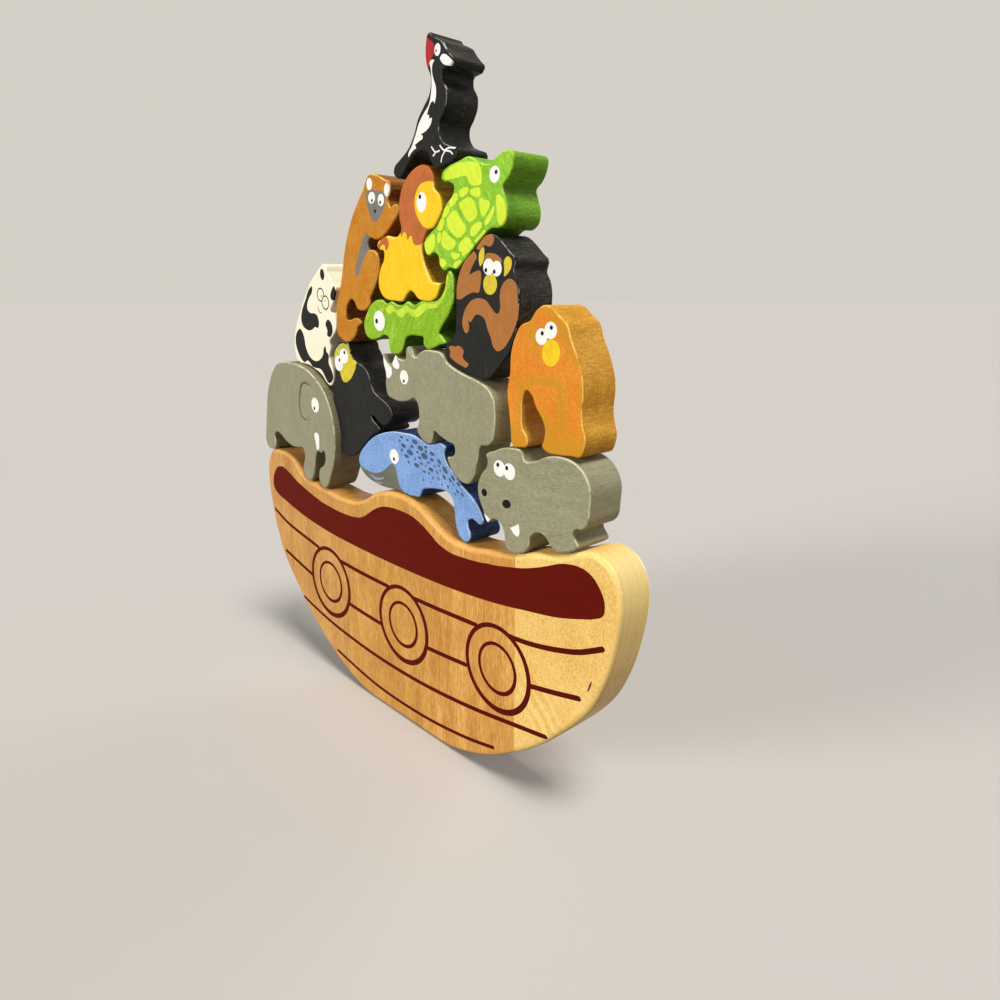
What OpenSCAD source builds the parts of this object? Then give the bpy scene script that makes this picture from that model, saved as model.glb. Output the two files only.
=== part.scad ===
// Stacking ark: thirteen flat wooden animals that balance on a boat-shaped board.
// x runs along the ark, y runs from the painted faces to the back, and z is up.
// The origin is under the middle of the ark, halfway through its thickness.

/* [Stock] */
// Thickness of the board that the ark is sawn from
ark_t = 19; // [15:0.5:25]
// Thickness of the board that the animals are sawn from
animal_t = 19; // [15:0.5:25]
// Thickness of the thinner board that the woodpecker is sawn from
woodpecker_t = 17; // [14:0.5:20]
// Gap between a piece and what it rests on
seat_gap = 0.3; // [0.1:0.05:0.6]
// Least gap between two pieces that stand side by side
side_gap = 0.4; // [0.2:0.1:1]

/* [Ark] */
// Length of the ark over its two ends
ark_l = 281; // [250:1:310]
// Height of the left end, which is a little higher than the right
ark_h = 128.5; // [117:0.5:142]
// Length of the flat that the ark stands on
foot_l = 60; // [50:1:70]
// Distance of the right-hand glue joint from the middle
joint_x = 84.5; // [75:0.5:95]
// Width of each of the two middle boards
board_w = 68; // [60:1:75]

/* [Elephant] */
// Height of the elephant
elephant_h = 68; // [60:0.5:76]
// Its middle, measured from the middle of the ark
elephant_x = -97.5; // [-104:0.5:-90]
// Distance of its face behind the ark's face
elephant_back = 0; // [0:0.5:5]
// Depth of the carved line round its ear
ear_line_d = 1.2; // [0.6:0.1:3]
// Width of the carved line round its ear
ear_line_w = 2; // [1:0.1:3]

/* [Whale] */
// Height of the whale
whale_h = 44.5; // [38:0.5:50]
// Its middle, measured from the middle of the ark
whale_x = 12.5; // [6:0.5:18]
// Distance of its face behind the ark's face
whale_back = 2.5; // [0:0.5:5]

/* [Hippopotamus] */
// Height of the hippopotamus
hippo_h = 45; // [40:0.5:52]
// Its middle, measured from the middle of the ark
hippo_x = 92.5; // [86:0.5:98]
// Distance of its face behind the ark's face
hippo_back = 0; // [0:0.5:5]

/* [Gorilla] */
// Height of the gorilla
gorilla_h = 61; // [54:0.5:68]
// Its middle, measured from the middle of the ark
gorilla_x = -34; // [-40:0.5:-28]
// Distance of its face behind the ark's face
gorilla_back = 3.5; // [0:0.5:5]

/* [Rhinoceros] */
// Height of the rhinoceros
rhino_h = 57.5; // [51:0.5:64]
// Its middle, measured from the middle of the ark
rhino_x = 32; // [26:0.5:38]
// Distance of its face behind the ark's face
rhino_back = 0.5; // [0:0.5:5]

/* [Orangutan] */
// Height of the orangutan
orangutan_h = 55.5; // [49:0.5:62]
// Its middle, measured from the middle of the ark
orangutan_x = 99.5; // [93:0.5:106]
// Distance of its face behind the ark's face
orangutan_back = 0.5; // [0:0.5:5]

/* [Chimpanzee] */
// Height of the chimpanzee
chimpanzee_h = 56.5; // [51:0.5:64]
// Its middle, measured from the middle of the ark
chimpanzee_x = 61.5; // [55:0.5:67]
// Distance of its face behind the ark's face
chimpanzee_back = 1.5; // [0:0.5:5]

/* [Iguana] */
// Height of the iguana
iguana_h = 36.5; // [32:0.5:41]
// Its middle, measured from the middle of the ark
iguana_x = 11; // [5:0.5:17]
// Distance of its face behind the ark's face
iguana_back = 1; // [0:0.5:5]

/* [Lion] */
// Height of the lion
lion_h = 55; // [49:0.5:61]
// Its middle, measured from the middle of the ark
lion_x = 14.5; // [8:0.5:20]
// Distance of its face behind the ark's face
lion_back = 1; // [0:0.5:5]

/* [Lemur] */
// Height of the lemur
lemur_h = 76.5; // [68:0.5:84]
// Its middle, measured from the middle of the ark
lemur_x = -22.5; // [-27:0.5:-15]
// Distance of its face behind the ark's face
lemur_back = 2.5; // [0:0.5:5]

/* [Panda] */
// Height of the panda
panda_h = 63; // [56:0.5:70]
// Its middle, measured from the middle of the ark
panda_x = -77; // [-83:0.5:-71]
// Distance of its face behind the ark's face
panda_back = 4; // [0:0.5:5]

/* [Turtle] */
// Height of the turtle
turtle_h = 41.5; // [37:0.5:46]
// Its middle, measured from the middle of the ark
turtle_x = 53.5; // [48:0.5:60]
// Distance of its face behind the ark's face
turtle_back = 1.5; // [0:0.5:5]

/* [Woodpecker] */
// Height of the woodpecker
woodpecker_h = 51; // [45:0.5:57]
// Its middle, measured from the middle of the ark
woodpecker_x = 27.5; // [22:0.5:33]
// Distance of its face behind the ark's face
woodpecker_back = 1; // [0:0.5:5]

/* [Hidden] */

// Straight steps in each span of a curve
steps = 4;
// Height below which the lion's forepaw carries the turtle, as a share of the lion's height
paw_share = 0.16;
// A length greater than any in the stack
far = 1000;

// Every outline is drawn on one sheet, with x from the middle of the ark and z from the ground.
// A third value of 1 marks a sharp corner: all other points lie on one smooth curve.
// The two sides of the ark's hull are alike: this is the right one, up from the end of its foot.
hull_points = [
    [foot_l / 2, 0, 1], [40, 1], [50, 3.5], [60, 7], [70, 11.5], [80, 17.5], [90, 24], [101, 32.5],
    [111, 42], [121, 52.5], [127.5, 61], [132.5, 71], [136, 80.5], [138.5, 91], [140, 100]
];

// The ark's deck, from its right end to its left end
deck_points = [
    [140.5, 108], [139.5, 115], [136.5, 121], [131.5, 125], [126, 126.5], [119.5, 125], [112, 122],
    [104, 120], [95, 118.5], [86, 115.5], [76, 113.5], [66, 112.5], [56, 111], [47, 111],
    [40, 112], [34, 114.5], [28, 117.5], [22, 120.5], [15, 123], [8, 124.5], [0, 125],
    [-8, 124.5], [-15, 123], [-22, 120.5], [-28, 117], [-34, 114.5], [-40, 113], [-48, 112.5],
    [-57, 112.5], [-66, 113.5], [-76, 114.5], [-85, 115.5], [-90, 116.5], [-95, 118.5],
    [-99, 121.5], [-104, 125], [-110, 127.5], [-116, 128.5], [-122, 128.5], [-128, 128.5],
    [-132.5, 127.5], [-136.5, 123.5], [-139.5, 117], [-140.5, 108]
];

elephant_points = [
    [-132, 161.5], [-134.5, 152.5], [-137, 142.5], [-138.5, 132.5], [-137, 129.5], [-131.5, 129],
    [-127.5, 130], [-126, 133], [-126.5, 137.5], [-123.5, 140], [-118.5, 139], [-112.5, 136],
    [-105.5, 134], [-98.5, 134], [-92.5, 134.5], [-90.5, 132], [-91, 128.5], [-93.5, 123],
    [-93, 119.5], [-89.5, 117], [-84.5, 117], [-82.5, 119], [-80, 125.5], [-78, 131.5],
    [-75.5, 135], [-71, 134.5, 1], [-69, 136.5], [-67.5, 134.5], [-68, 130.5], [-70.5, 127.5],
    [-74, 125.5], [-75.5, 122], [-75.5, 118.5], [-73, 115.5], [-69.5, 115], [-67, 116.5],
    [-63, 122.5], [-59, 130.5], [-56.5, 139.5], [-56, 147.5], [-57.5, 156.5], [-61, 164.5],
    [-66.5, 171], [-73.5, 176], [-80.5, 179.5], [-88.5, 181.5], [-98.5, 182.5], [-108.5, 182.5],
    [-116.5, 181], [-123.5, 175.5], [-128.5, 168.5]
];

whale_points = [
    [-32, 133.5], [-28, 130], [-20.5, 127.5], [-10.5, 126.5], [-0.5, 127], [7.5, 126.5],
    [14.5, 126.5], [19.5, 127.5], [21.5, 131], [26, 132.5], [32.5, 133.5], [40, 133.5], [44, 131],
    [45, 126], [46, 119], [49, 114], [53, 112.5], [55.5, 114.5], [56, 117], [54.5, 120],
    [54.5, 123], [57, 124.5], [59.5, 124], [62.5, 123], [65, 125], [64, 127.5], [61, 131.5],
    [56.5, 135], [50.5, 138.5], [44.5, 143.5], [40, 147.5], [38.5, 151.5], [40, 154.5, 1],
    [36.5, 155.5], [31.5, 154.5], [26.5, 153.5], [21.5, 155], [15.5, 156.5], [7.5, 156.5],
    [-1.5, 156], [-10.5, 154], [-18.5, 151], [-26, 146], [-31, 141.5], [-33, 137.5]
];

hippo_points = [
    [60.5, 139.5], [61.5, 134], [64, 129.5], [65.5, 126], [67, 124.5], [69, 126], [71.5, 127],
    [75.5, 125.5], [77.5, 121.5], [78, 117], [80.5, 115], [85.5, 115], [90, 117], [92, 119.5],
    [93, 124], [97.5, 127], [101.5, 126], [104.5, 123], [107.5, 121.5], [112.5, 122.5],
    [117, 124.5], [119, 126.5], [117.5, 128.5], [116, 131], [117.5, 133], [120.5, 133.5],
    [123, 136], [124, 142.5], [124, 150], [121, 155.5], [115.5, 159], [108.5, 160], [101.5, 159],
    [94.5, 156], [89.5, 155.5], [87.5, 159], [81.5, 159.5], [75.5, 158.5], [70.5, 156.5],
    [67.5, 155.5], [66, 154.5], [67, 152], [66.5, 149.5], [63, 145.5]
];

gorilla_points = [
    [-55.5, 171.5], [-55, 165.5], [-53, 160.5], [-50.5, 155.5], [-49.5, 149.5], [-50.5, 142.5],
    [-49.5, 138.5], [-44.5, 137.5], [-38.5, 138.5], [-33.5, 141], [-28.5, 145], [-23.5, 149],
    [-18.5, 152.5], [-12.5, 155.5], [-15.5, 158], [-19, 160], [-20, 161.5], [-18, 162],
    [-15.5, 160.5], [-13, 159], [-9.5, 158], [-5.5, 159.5], [-2.5, 162], [-1.5, 164.5],
    [-3.5, 167.5], [-7.5, 170], [-12.5, 172], [-17, 174.5], [-19, 178.5], [-21, 182.5],
    [-24.5, 185.5], [-28.5, 187], [-32, 187.5], [-34.5, 190], [-37, 193], [-38.5, 196.5],
    [-42.5, 197.5], [-47, 196.5], [-51, 193.5], [-52.5, 189], [-52, 183.5], [-53, 177.5]
];

rhino_points = [
    [-7, 192.5, 1], [-6.5, 187.5], [-5, 183.5], [-5.5, 178], [-4, 173], [0.5, 171.5], [6.5, 171],
    [12.5, 172], [17, 173.5], [19.5, 171.5], [20.5, 167.5], [20, 162.5], [18.5, 159], [21, 156],
    [24.5, 154], [29, 154], [30.5, 157.5], [31.5, 160], [35.5, 158.5], [41.5, 156.5], [45.5, 155.5],
    [46, 152.5], [43.5, 150], [40.5, 149.5], [42.5, 145.5], [46.5, 141.5], [51.5, 139.5],
    [55.5, 140], [58.5, 143], [61, 150.5], [64, 158], [67.5, 158.5], [70.5, 160.5], [72, 165.5],
    [72.5, 172.5], [71.5, 178.5], [68, 182.5], [61.5, 185], [53.5, 187], [45.5, 189.5],
    [41.5, 191.5], [38, 195], [31.5, 196], [26.5, 196], [22, 194.5], [18.5, 192.5], [16.5, 195.5],
    [14.5, 197], [12, 196], [11.5, 191.5], [10, 190.5, 1], [6, 191], [3, 192.5, 1], [1, 189.5],
    [-2, 188]
];

orangutan_points = [
    [81.5, 161.5], [82.5, 160], [86.5, 160], [90.5, 161], [90.5, 164.5], [88, 168], [87.5, 173.5],
    [88, 180], [90, 183], [92.5, 181.5], [95, 177], [98.5, 172.5], [100, 169], [99.5, 165],
    [98.5, 162], [100.5, 160.5], [106.5, 160], [113.5, 160.5], [118.5, 161], [120, 164],
    [120.5, 168.5], [119.5, 171.5], [118.5, 177], [119, 184], [118.5, 189.5], [116, 196.5],
    [112.5, 203.5], [110.5, 208.5], [106.5, 211.5], [102.5, 214.5], [98, 215], [94.5, 213],
    [91.5, 209.5], [86.5, 207.5], [83, 202.5], [81, 196.5], [80.5, 189], [79, 182], [80, 174],
    [81, 166.5]
];

chimpanzee_points = [
    [49, 223.5], [48.5, 217.5], [48, 209.5], [47.5, 204], [45, 201.5], [42, 200], [40.5, 197],
    [41.5, 193.5], [44, 191.5], [48.5, 189.5], [55.5, 187.5], [61.5, 186.5], [67.5, 186.5],
    [73.5, 190.5], [78.5, 195.5], [82, 201.5], [84.5, 207], [85.5, 213], [86, 219.5], [85, 224.5],
    [83, 228], [84, 232.5], [81, 235], [77, 238.5], [73.5, 241], [71, 242], [66.5, 241.5],
    [62.5, 238.5], [58.5, 235.5], [54, 232.5], [51, 228.5]
];

iguana_points = [
    [-20.5, 200.5], [-16.5, 198.5], [-9.5, 199.5], [-4, 201], [-1.5, 200], [-1.5, 196], [0, 193],
    [3.5, 192.5], [8.5, 194], [10.5, 197], [12, 200], [15.5, 201.5], [21.5, 201.5], [25.5, 201],
    [25.5, 198.5], [27.5, 197], [34.5, 198], [41.5, 200, 1], [36.5, 203.5, 1], [39.5, 207],
    [43.5, 211], [46.5, 216], [47, 222], [46.5, 227.5], [44.5, 229], [42.5, 226.5], [41.5, 222.5],
    [39, 219], [35.5, 217], [30.5, 216.5], [24, 216.5], [19.5, 215], [14.5, 216.5], [10.5, 215],
    [6.5, 215], [2, 216.5], [-2, 215.5], [-5, 217], [-10, 217], [-15, 215], [-19, 211], [-22, 205.5]
];

lion_points = [
    [-7.5, 227.5], [-7.5, 223], [-4.5, 219], [0, 217.5], [5.5, 217.5], [11, 217.5], [14, 220],
    [17.5, 221.5], [19.5, 220.5], [22, 218.5], [26.5, 217.5], [31.5, 217.5], [35.5, 219],
    [37.5, 222], [39, 224.5, 1], [32.5, 225, 1], [30, 228.5], [27.5, 233], [26, 239], [28, 243],
    [30.5, 246], [34.5, 247], [37.5, 249.5], [40, 253], [40, 256.5], [38.5, 259.5], [35.5, 262],
    [35.5, 266.5], [32.5, 270.5], [27.5, 272], [22, 271], [16.5, 268], [12.5, 263.5], [10.5, 258],
    [10.5, 251.5], [11.5, 247.5], [9, 245], [5.5, 244.5], [1, 245.5], [-4, 244.5], [-8, 242],
    [-6.5, 240], [-2.5, 239], [-2.5, 236], [-5.5, 232]
];

lemur_points = [
    [-47.5, 207.5], [-47, 202], [-43, 199], [-38, 198], [-33, 199.5], [-29.5, 202.5], [-28, 205.5],
    [-24, 208], [-26, 209.5], [-30, 210], [-34, 209], [-37.5, 209], [-38, 212.5], [-35.5, 217],
    [-32, 219], [-29.5, 217.5], [-27.5, 214.5], [-23.5, 213.5], [-18.5, 214.5], [-16, 216.5],
    [-15.5, 219.5], [-13.5, 222], [-10.5, 225.5], [-8, 229.5], [-6.5, 234.5], [-7.5, 238.5],
    [-11, 241], [-14.5, 241.5], [-15.5, 244], [-13.5, 246.5], [-9.5, 245.5], [-4.5, 246],
    [0.5, 248.5], [5.5, 252], [9.5, 255.5], [10, 258.5], [7, 259.5], [3.5, 258.5, 1], [2, 261.5],
    [4, 266], [4, 268.5], [-0.5, 270.5], [-6.5, 273], [-12.5, 273.5], [-15.5, 271], [-17, 268.5],
    [-22.5, 263], [-28.5, 256], [-33.5, 248], [-37, 240], [-39.5, 231.5], [-42.5, 224], [-46, 217]
];

panda_points = [
    [-93.5, 196.5], [-93.5, 191.5], [-92.5, 187.5], [-89, 184.5], [-84.5, 184], [-78.5, 183.5],
    [-73.5, 182], [-68.5, 180.5], [-64.5, 178.5], [-61, 175.5], [-57, 174], [-54, 176],
    [-53, 180.5], [-54, 184], [-56.5, 189.5, 1], [-54.5, 194], [-55, 197], [-51, 200.5],
    [-48, 203.5], [-47.5, 208], [-49.5, 211], [-52.5, 212.5], [-49.5, 216.5], [-47, 221],
    [-46, 224.5], [-48.5, 226], [-51, 229], [-53.5, 232, 1], [-54.5, 235], [-57, 236],
    [-60.5, 234.5], [-66, 231], [-72.5, 226.5], [-77, 221.5], [-81, 216.5], [-84.5, 212],
    [-89, 206], [-92, 201]
];

turtle_points = [
    [27.5, 241], [27.5, 237.5], [29.5, 235], [33.5, 236], [36.5, 235], [37.5, 231.5], [40, 229.5],
    [44, 230.5], [48.5, 229.5], [53, 232.5], [59, 236.5], [64.5, 240.5], [69.5, 243.5],
    [74.5, 243.5], [77.5, 245.5], [78.5, 250], [77, 254.5], [76, 258], [79, 260.5], [81.5, 264.5],
    [82, 268.5], [78.5, 270], [72.5, 268.5], [68.5, 266.5], [62.5, 268], [56.5, 270.5],
    [50.5, 269.5], [44.5, 268.5], [40, 266], [40, 263.5], [44.5, 262.5], [47.5, 260.5], [47, 258],
    [42.5, 254.5], [39.5, 250.5], [36, 246.5], [31.5, 244]
];

woodpecker_points = [
    [7, 269.5], [9.5, 267], [12.5, 267], [17, 270.5], [22.5, 274.5], [28, 275.5], [31.5, 274],
    [34, 270], [37.5, 268], [43.5, 268.5], [49.5, 270.5], [50.5, 273], [45.5, 275.5], [42, 277],
    [39.5, 280.5], [39.5, 284], [42, 287], [44.5, 291.5], [44.5, 295.5], [42, 299.5], [42.5, 302.5],
    [45, 303], [48, 303.5], [49, 305.5], [47, 307.5], [44.5, 310], [42.5, 312.5], [39, 314.5],
    [36, 316], [34.5, 317.5], [33, 317], [32, 314.5], [32, 306.5], [34.5, 301.5], [33.5, 296],
    [29.5, 292], [25.5, 288], [22.5, 282.5], [18.5, 278], [11.5, 274], [8, 272]
];

// The middle line of the groove carved round the elephant's ear, drawn on the same sheet
ear_points = [
    [-80.5, 171.5], [-83.5, 172.5], [-86.5, 172], [-89.5, 171], [-91.5, 168], [-92.5, 164.5],
    [-92.5, 160], [-92.5, 156.5], [-91.5, 154], [-89.5, 152], [-86.5, 151.5]
];

// Direction of a smooth curve at b, between its neighbours a and c
function heading(a, b, c) =
    let (u = norm(b - a), v = norm(c - b))
    ((b - a) / u * v + (c - b) / v * u) / (u + v);

// The point at share t of a span from a to b, leaving along m and arriving along n
function along(a, b, m, n, t) =
    (2 * t ^ 3 - 3 * t ^ 2 + 1) * a + (t ^ 3 - 2 * t ^ 2 + t) * m
    + (3 * t ^ 2 - 2 * t ^ 3) * b + (t ^ 3 - t ^ 2) * n;

// A drawn point without its corner mark
function flat(q) = [q.x, q.y];

// The closed curve through points p, with straight headings at sharp corners
function curve(p) =
    let (n = len(p))
    [for (i = [0:n - 1])
        let (
            before = flat(p[(i + n - 1) % n]),
            a = flat(p[i]),
            b = flat(p[(i + 1) % n]),
            after = flat(p[(i + 2) % n]),
            reach = norm(b - a),
            leave = len(p[i]) == 3 ? (b - a) / reach : heading(before, a, b),
            arrive = len(p[(i + 1) % n]) == 3 ? (b - a) / reach : heading(a, b, after)
        )
        for (j = [0:steps - 1]) along(a, b, leave * reach, arrive * reach, j / steps)];

// A strip of width w whose middle line runs through points p
function strip(p, w) =
    let (
        n = len(p),
        sides = [for (i = [0:n - 1])
            let (d = p[min(i + 1, n - 1)] - p[max(i - 1, 0)])
            [-d.y, d.x] / norm(d) * w / 2]
    )
    concat([for (i = [0:n - 1]) p[i] - sides[i]], [for (i = [n - 1:-1:0]) p[i] + sides[i]]);

// Extents of an outline
function left_of(p) = min([for (q = p) q.x]);
function right_of(p) = max([for (q = p) q.x]);
function foot_of(p) = min([for (q = p) q.y]);
function top_of(p) = max([for (q = p) q.y]);
function tall(p) = top_of(p) - foot_of(p);

// Outline p at a placement, which is a scale followed by a move in x and z
function put(p, at) = [for (q = p) [q.x * at[0] + at[1], q.y * at[0] + at[2]]];

// Outline p turned a quarter, so that its right or its left side comes to lie on top
function right_up(p) = [for (q = p) [-q.y, q.x]];
function left_up(p) = [for (q = p) [q.y, -q.x]];

// The edges of outline p, which runs anticlockwise, that face down or up between two values of x
function lower_edges(p, from, to) =
    [for (i = [0:len(p) - 1])
        let (a = p[i], b = p[(i + 1) % len(p)])
        if (a.x < b.x && b.x >= from && a.x <= to) [a, b]];
function upper_edges(p, from, to) =
    [for (i = [0:len(p) - 1])
        let (a = p[i], b = p[(i + 1) % len(p)])
        if (b.x < a.x && a.x >= from && b.x <= to) [b, a]];

// Height of edge e at x
function level(e, x) = e[0].y + (e[1].y - e[0].y) * (x - e[0].x) / (e[1].x - e[0].x);

// The most that outline b stands higher than the underside of outline a, anywhere along x
function reach_over(a, b) =
    let (
        from = max(left_of(a), left_of(b)),
        to = min(right_of(a), right_of(b)),
        under = lower_edges(a, from, to),
        over = upper_edges(b, from, to)
    )
    max(concat([-far], [for (e = under) for (f = over)
        let (x0 = max(e[0].x, f[0].x), x1 = min(e[1].x, f[1].x))
        if (x0 <= x1) max(level(f, x0) - level(e, x0), level(f, x1) - level(e, x1))]));

// Outline p with nothing above height z
function capped(p, z) = [for (q = p) [q.x, min(q.y, z)]];

// Placement of figure p, scaled to height h, with its middle at x.
// It is first drawn as far above its carrier's top as on the sheet: carrier is drawn, then placed.
// It moves aside from the pieces on its left and right, and then down on to all that carries it.
function seated(p, h, x, carrier, on, left = [], right = []) =
    let (
        k = h / tall(p),
        foot = top_of(carrier[1]) + k * (foot_of(p) - top_of(carrier[0])),
        drawn = [k, x - k * (left_of(p) + right_of(p)) / 2, foot - k * foot_of(p)],
        a = put(p, drawn),
        to_right = max(concat([0], [for (b = left) reach_over(right_up(a), right_up(b)) + side_gap])),
        to_left = max(concat([0], [for (b = right) reach_over(left_up(a), left_up(b)) + side_gap])),
        beside = drawn + [0, to_right - to_left, 0],
        c = put(p, beside)
    )
    beside + [0, 0, seat_gap + max([for (b = on) reach_over(c, b)])];

// The ark, drawn and then stretched to its length and height
ark_drawn = curve(concat(
    hull_points,
    deck_points,
    [for (i = [len(hull_points) - 1:-1:0])
        let (q = hull_points[i])
        len(q) == 3 ? [-q.x, q.y, 1] : [-q.x, q.y]]
));
ark_rim = [for (q = ark_drawn) [q.x * ark_l / 2 / right_of(ark_drawn), q.y * ark_h / top_of(ark_drawn)]];

elephant_drawn = curve(elephant_points);
elephant_at = seated(elephant_drawn, elephant_h, elephant_x, [ark_drawn, ark_rim],
    on = [ark_rim]);
elephant_rim = put(elephant_drawn, elephant_at);

whale_drawn = curve(whale_points);
whale_at = seated(whale_drawn, whale_h, whale_x, [ark_drawn, ark_rim],
    on = [ark_rim],
    left = [elephant_rim]);
whale_rim = put(whale_drawn, whale_at);

hippo_drawn = curve(hippo_points);
hippo_at = seated(hippo_drawn, hippo_h, hippo_x, [ark_drawn, ark_rim],
    on = [ark_rim, whale_rim],
    left = [whale_rim]);
hippo_rim = put(hippo_drawn, hippo_at);

gorilla_drawn = curve(gorilla_points);
gorilla_at = seated(gorilla_drawn, gorilla_h, gorilla_x, [elephant_drawn, elephant_rim],
    on = [elephant_rim, whale_rim],
    left = [elephant_rim]);
gorilla_rim = put(gorilla_drawn, gorilla_at);

rhino_drawn = curve(rhino_points);
rhino_at = seated(rhino_drawn, rhino_h, rhino_x, [whale_drawn, whale_rim],
    on = [whale_rim, hippo_rim, gorilla_rim],
    left = [gorilla_rim],
    right = [hippo_rim]);
rhino_rim = put(rhino_drawn, rhino_at);

orangutan_drawn = curve(orangutan_points);
orangutan_at = seated(orangutan_drawn, orangutan_h, orangutan_x, [hippo_drawn, hippo_rim],
    on = [hippo_rim, rhino_rim],
    left = [rhino_rim]);
orangutan_rim = put(orangutan_drawn, orangutan_at);

chimpanzee_drawn = curve(chimpanzee_points);
chimpanzee_at = seated(chimpanzee_drawn, chimpanzee_h, chimpanzee_x, [rhino_drawn, rhino_rim],
    on = [rhino_rim, orangutan_rim],
    right = [orangutan_rim]);
chimpanzee_rim = put(chimpanzee_drawn, chimpanzee_at);

iguana_drawn = curve(iguana_points);
iguana_at = seated(iguana_drawn, iguana_h, iguana_x, [rhino_drawn, rhino_rim],
    on = [rhino_rim, gorilla_rim, chimpanzee_rim],
    right = [chimpanzee_rim]);
iguana_rim = put(iguana_drawn, iguana_at);

lion_drawn = curve(lion_points);
lion_at = seated(lion_drawn, lion_h, lion_x, [iguana_drawn, iguana_rim],
    on = [iguana_rim]);
lion_rim = put(lion_drawn, lion_at);

lemur_drawn = curve(lemur_points);
lemur_at = seated(lemur_drawn, lemur_h, lemur_x, [iguana_drawn, iguana_rim],
    on = [gorilla_rim, iguana_rim, lion_rim],
    right = [lion_rim]);
lemur_rim = put(lemur_drawn, lemur_at);

panda_drawn = curve(panda_points);
panda_at = seated(panda_drawn, panda_h, panda_x, [elephant_drawn, elephant_rim],
    on = [elephant_rim, gorilla_rim],
    right = [gorilla_rim, lemur_rim]);
panda_rim = put(panda_drawn, panda_at);

turtle_drawn = curve(turtle_points);
turtle_at = seated(turtle_drawn, turtle_h, turtle_x, [chimpanzee_drawn, chimpanzee_rim],
    on = [chimpanzee_rim, iguana_rim, capped(lion_rim, foot_of(lion_rim) + paw_share * lion_h)],
    left = [lion_rim]);
turtle_rim = put(turtle_drawn, turtle_at);

woodpecker_drawn = curve(woodpecker_points);
woodpecker_at = seated(woodpecker_drawn, woodpecker_h, woodpecker_x, [lion_drawn, lion_rim],
    on = [lion_rim, turtle_rim],
    left = [lemur_rim]);
woodpecker_rim = put(woodpecker_drawn, woodpecker_at);

// A piece sawn to an outline from a board of thickness t, with its face set back from the ark's face
module sawn(rim, t, back) {
    translate([0, back + t - ark_t / 2, 0])
        rotate([90, 0, 0])
            linear_extrude(t)
                polygon(rim);
}

// The part of the ark between two values of x: its boards are glued edge to edge, with upright grain
module ark_board(from, to) {
    intersection() {
        sawn(ark_rim, ark_t, 0);
        translate([from, -ark_t, -1])
            cube([to - from, 2 * ark_t, ark_h + 2]);
    }
}

module ark_left_end_board() {
    color("burlywood") ark_board(-ark_l, joint_x - 2 * board_w);
}

module ark_left_board() {
    color("burlywood") ark_board(joint_x - 2 * board_w, joint_x - board_w);
}

module ark_right_board() {
    color("burlywood") ark_board(joint_x - board_w, joint_x);
}

module ark_right_end_board() {
    color("navajowhite") ark_board(joint_x, ark_l);
}

module elephant() {
    color("darkgray") difference() {
        sawn(elephant_rim, animal_t, elephant_back);
        sawn(strip(put(ear_points, elephant_at), ear_line_w), 2 * ear_line_d, elephant_back - ear_line_d);
    }
}

module whale() {
    color("cornflowerblue") sawn(whale_rim, animal_t, whale_back);
}

module hippopotamus() {
    color("dimgray") sawn(hippo_rim, animal_t, hippo_back);
}

module gorilla() {
    color("darkslategray") sawn(gorilla_rim, animal_t, gorilla_back);
}

module rhinoceros() {
    color("gray") sawn(rhino_rim, animal_t, rhino_back);
}

module orangutan() {
    color("darkorange") sawn(orangutan_rim, animal_t, orangutan_back);
}

module chimpanzee() {
    color("peru") sawn(chimpanzee_rim, animal_t, chimpanzee_back);
}

module iguana() {
    color("yellowgreen") sawn(iguana_rim, animal_t, iguana_back);
}

module lion() {
    color("gold") sawn(lion_rim, animal_t, lion_back);
}

module lemur() {
    color("sandybrown") sawn(lemur_rim, animal_t, lemur_back);
}

module panda() {
    color("ivory") sawn(panda_rim, animal_t, panda_back);
}

module turtle() {
    color("limegreen") sawn(turtle_rim, animal_t, turtle_back);
}

module woodpecker() {
    color("black") sawn(woodpecker_rim, woodpecker_t, woodpecker_back);
}

ark_left_end_board();
ark_left_board();
ark_right_board();
ark_right_end_board();
elephant();
whale();
hippopotamus();
gorilla();
rhinoceros();
orangutan();
chimpanzee();
iguana();
lion();
lemur();
panda();
turtle();
woodpecker();
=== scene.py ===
"""Looks of the stacking ark: planed and varnished boards, and thirteen sawn and hand-painted animals.

Every piece is rebuilt from the outline of its CAD node, with eased edges, and the paint is cut into its
faces. Marks are drawn in millimetres on one sheet, x from the middle of the ark and z from the ground.
"""

import math

import bpy
import numpy as np
from mathutils import Matrix, Vector
from mathutils.geometry import delaunay_2d_cdt


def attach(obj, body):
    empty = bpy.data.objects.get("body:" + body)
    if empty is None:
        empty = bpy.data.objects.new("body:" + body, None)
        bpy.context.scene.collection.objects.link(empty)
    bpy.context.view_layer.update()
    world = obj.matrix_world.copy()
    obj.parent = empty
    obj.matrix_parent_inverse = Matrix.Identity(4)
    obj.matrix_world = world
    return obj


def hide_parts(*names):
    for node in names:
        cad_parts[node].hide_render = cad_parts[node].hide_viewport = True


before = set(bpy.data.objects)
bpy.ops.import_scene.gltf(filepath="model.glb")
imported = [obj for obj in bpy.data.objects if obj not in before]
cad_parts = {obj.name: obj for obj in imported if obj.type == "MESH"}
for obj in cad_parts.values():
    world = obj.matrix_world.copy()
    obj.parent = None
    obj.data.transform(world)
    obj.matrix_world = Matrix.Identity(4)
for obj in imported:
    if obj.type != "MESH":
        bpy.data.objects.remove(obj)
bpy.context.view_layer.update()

MM = 1000  # millimetres in a metre
TINY = 1e-9

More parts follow.
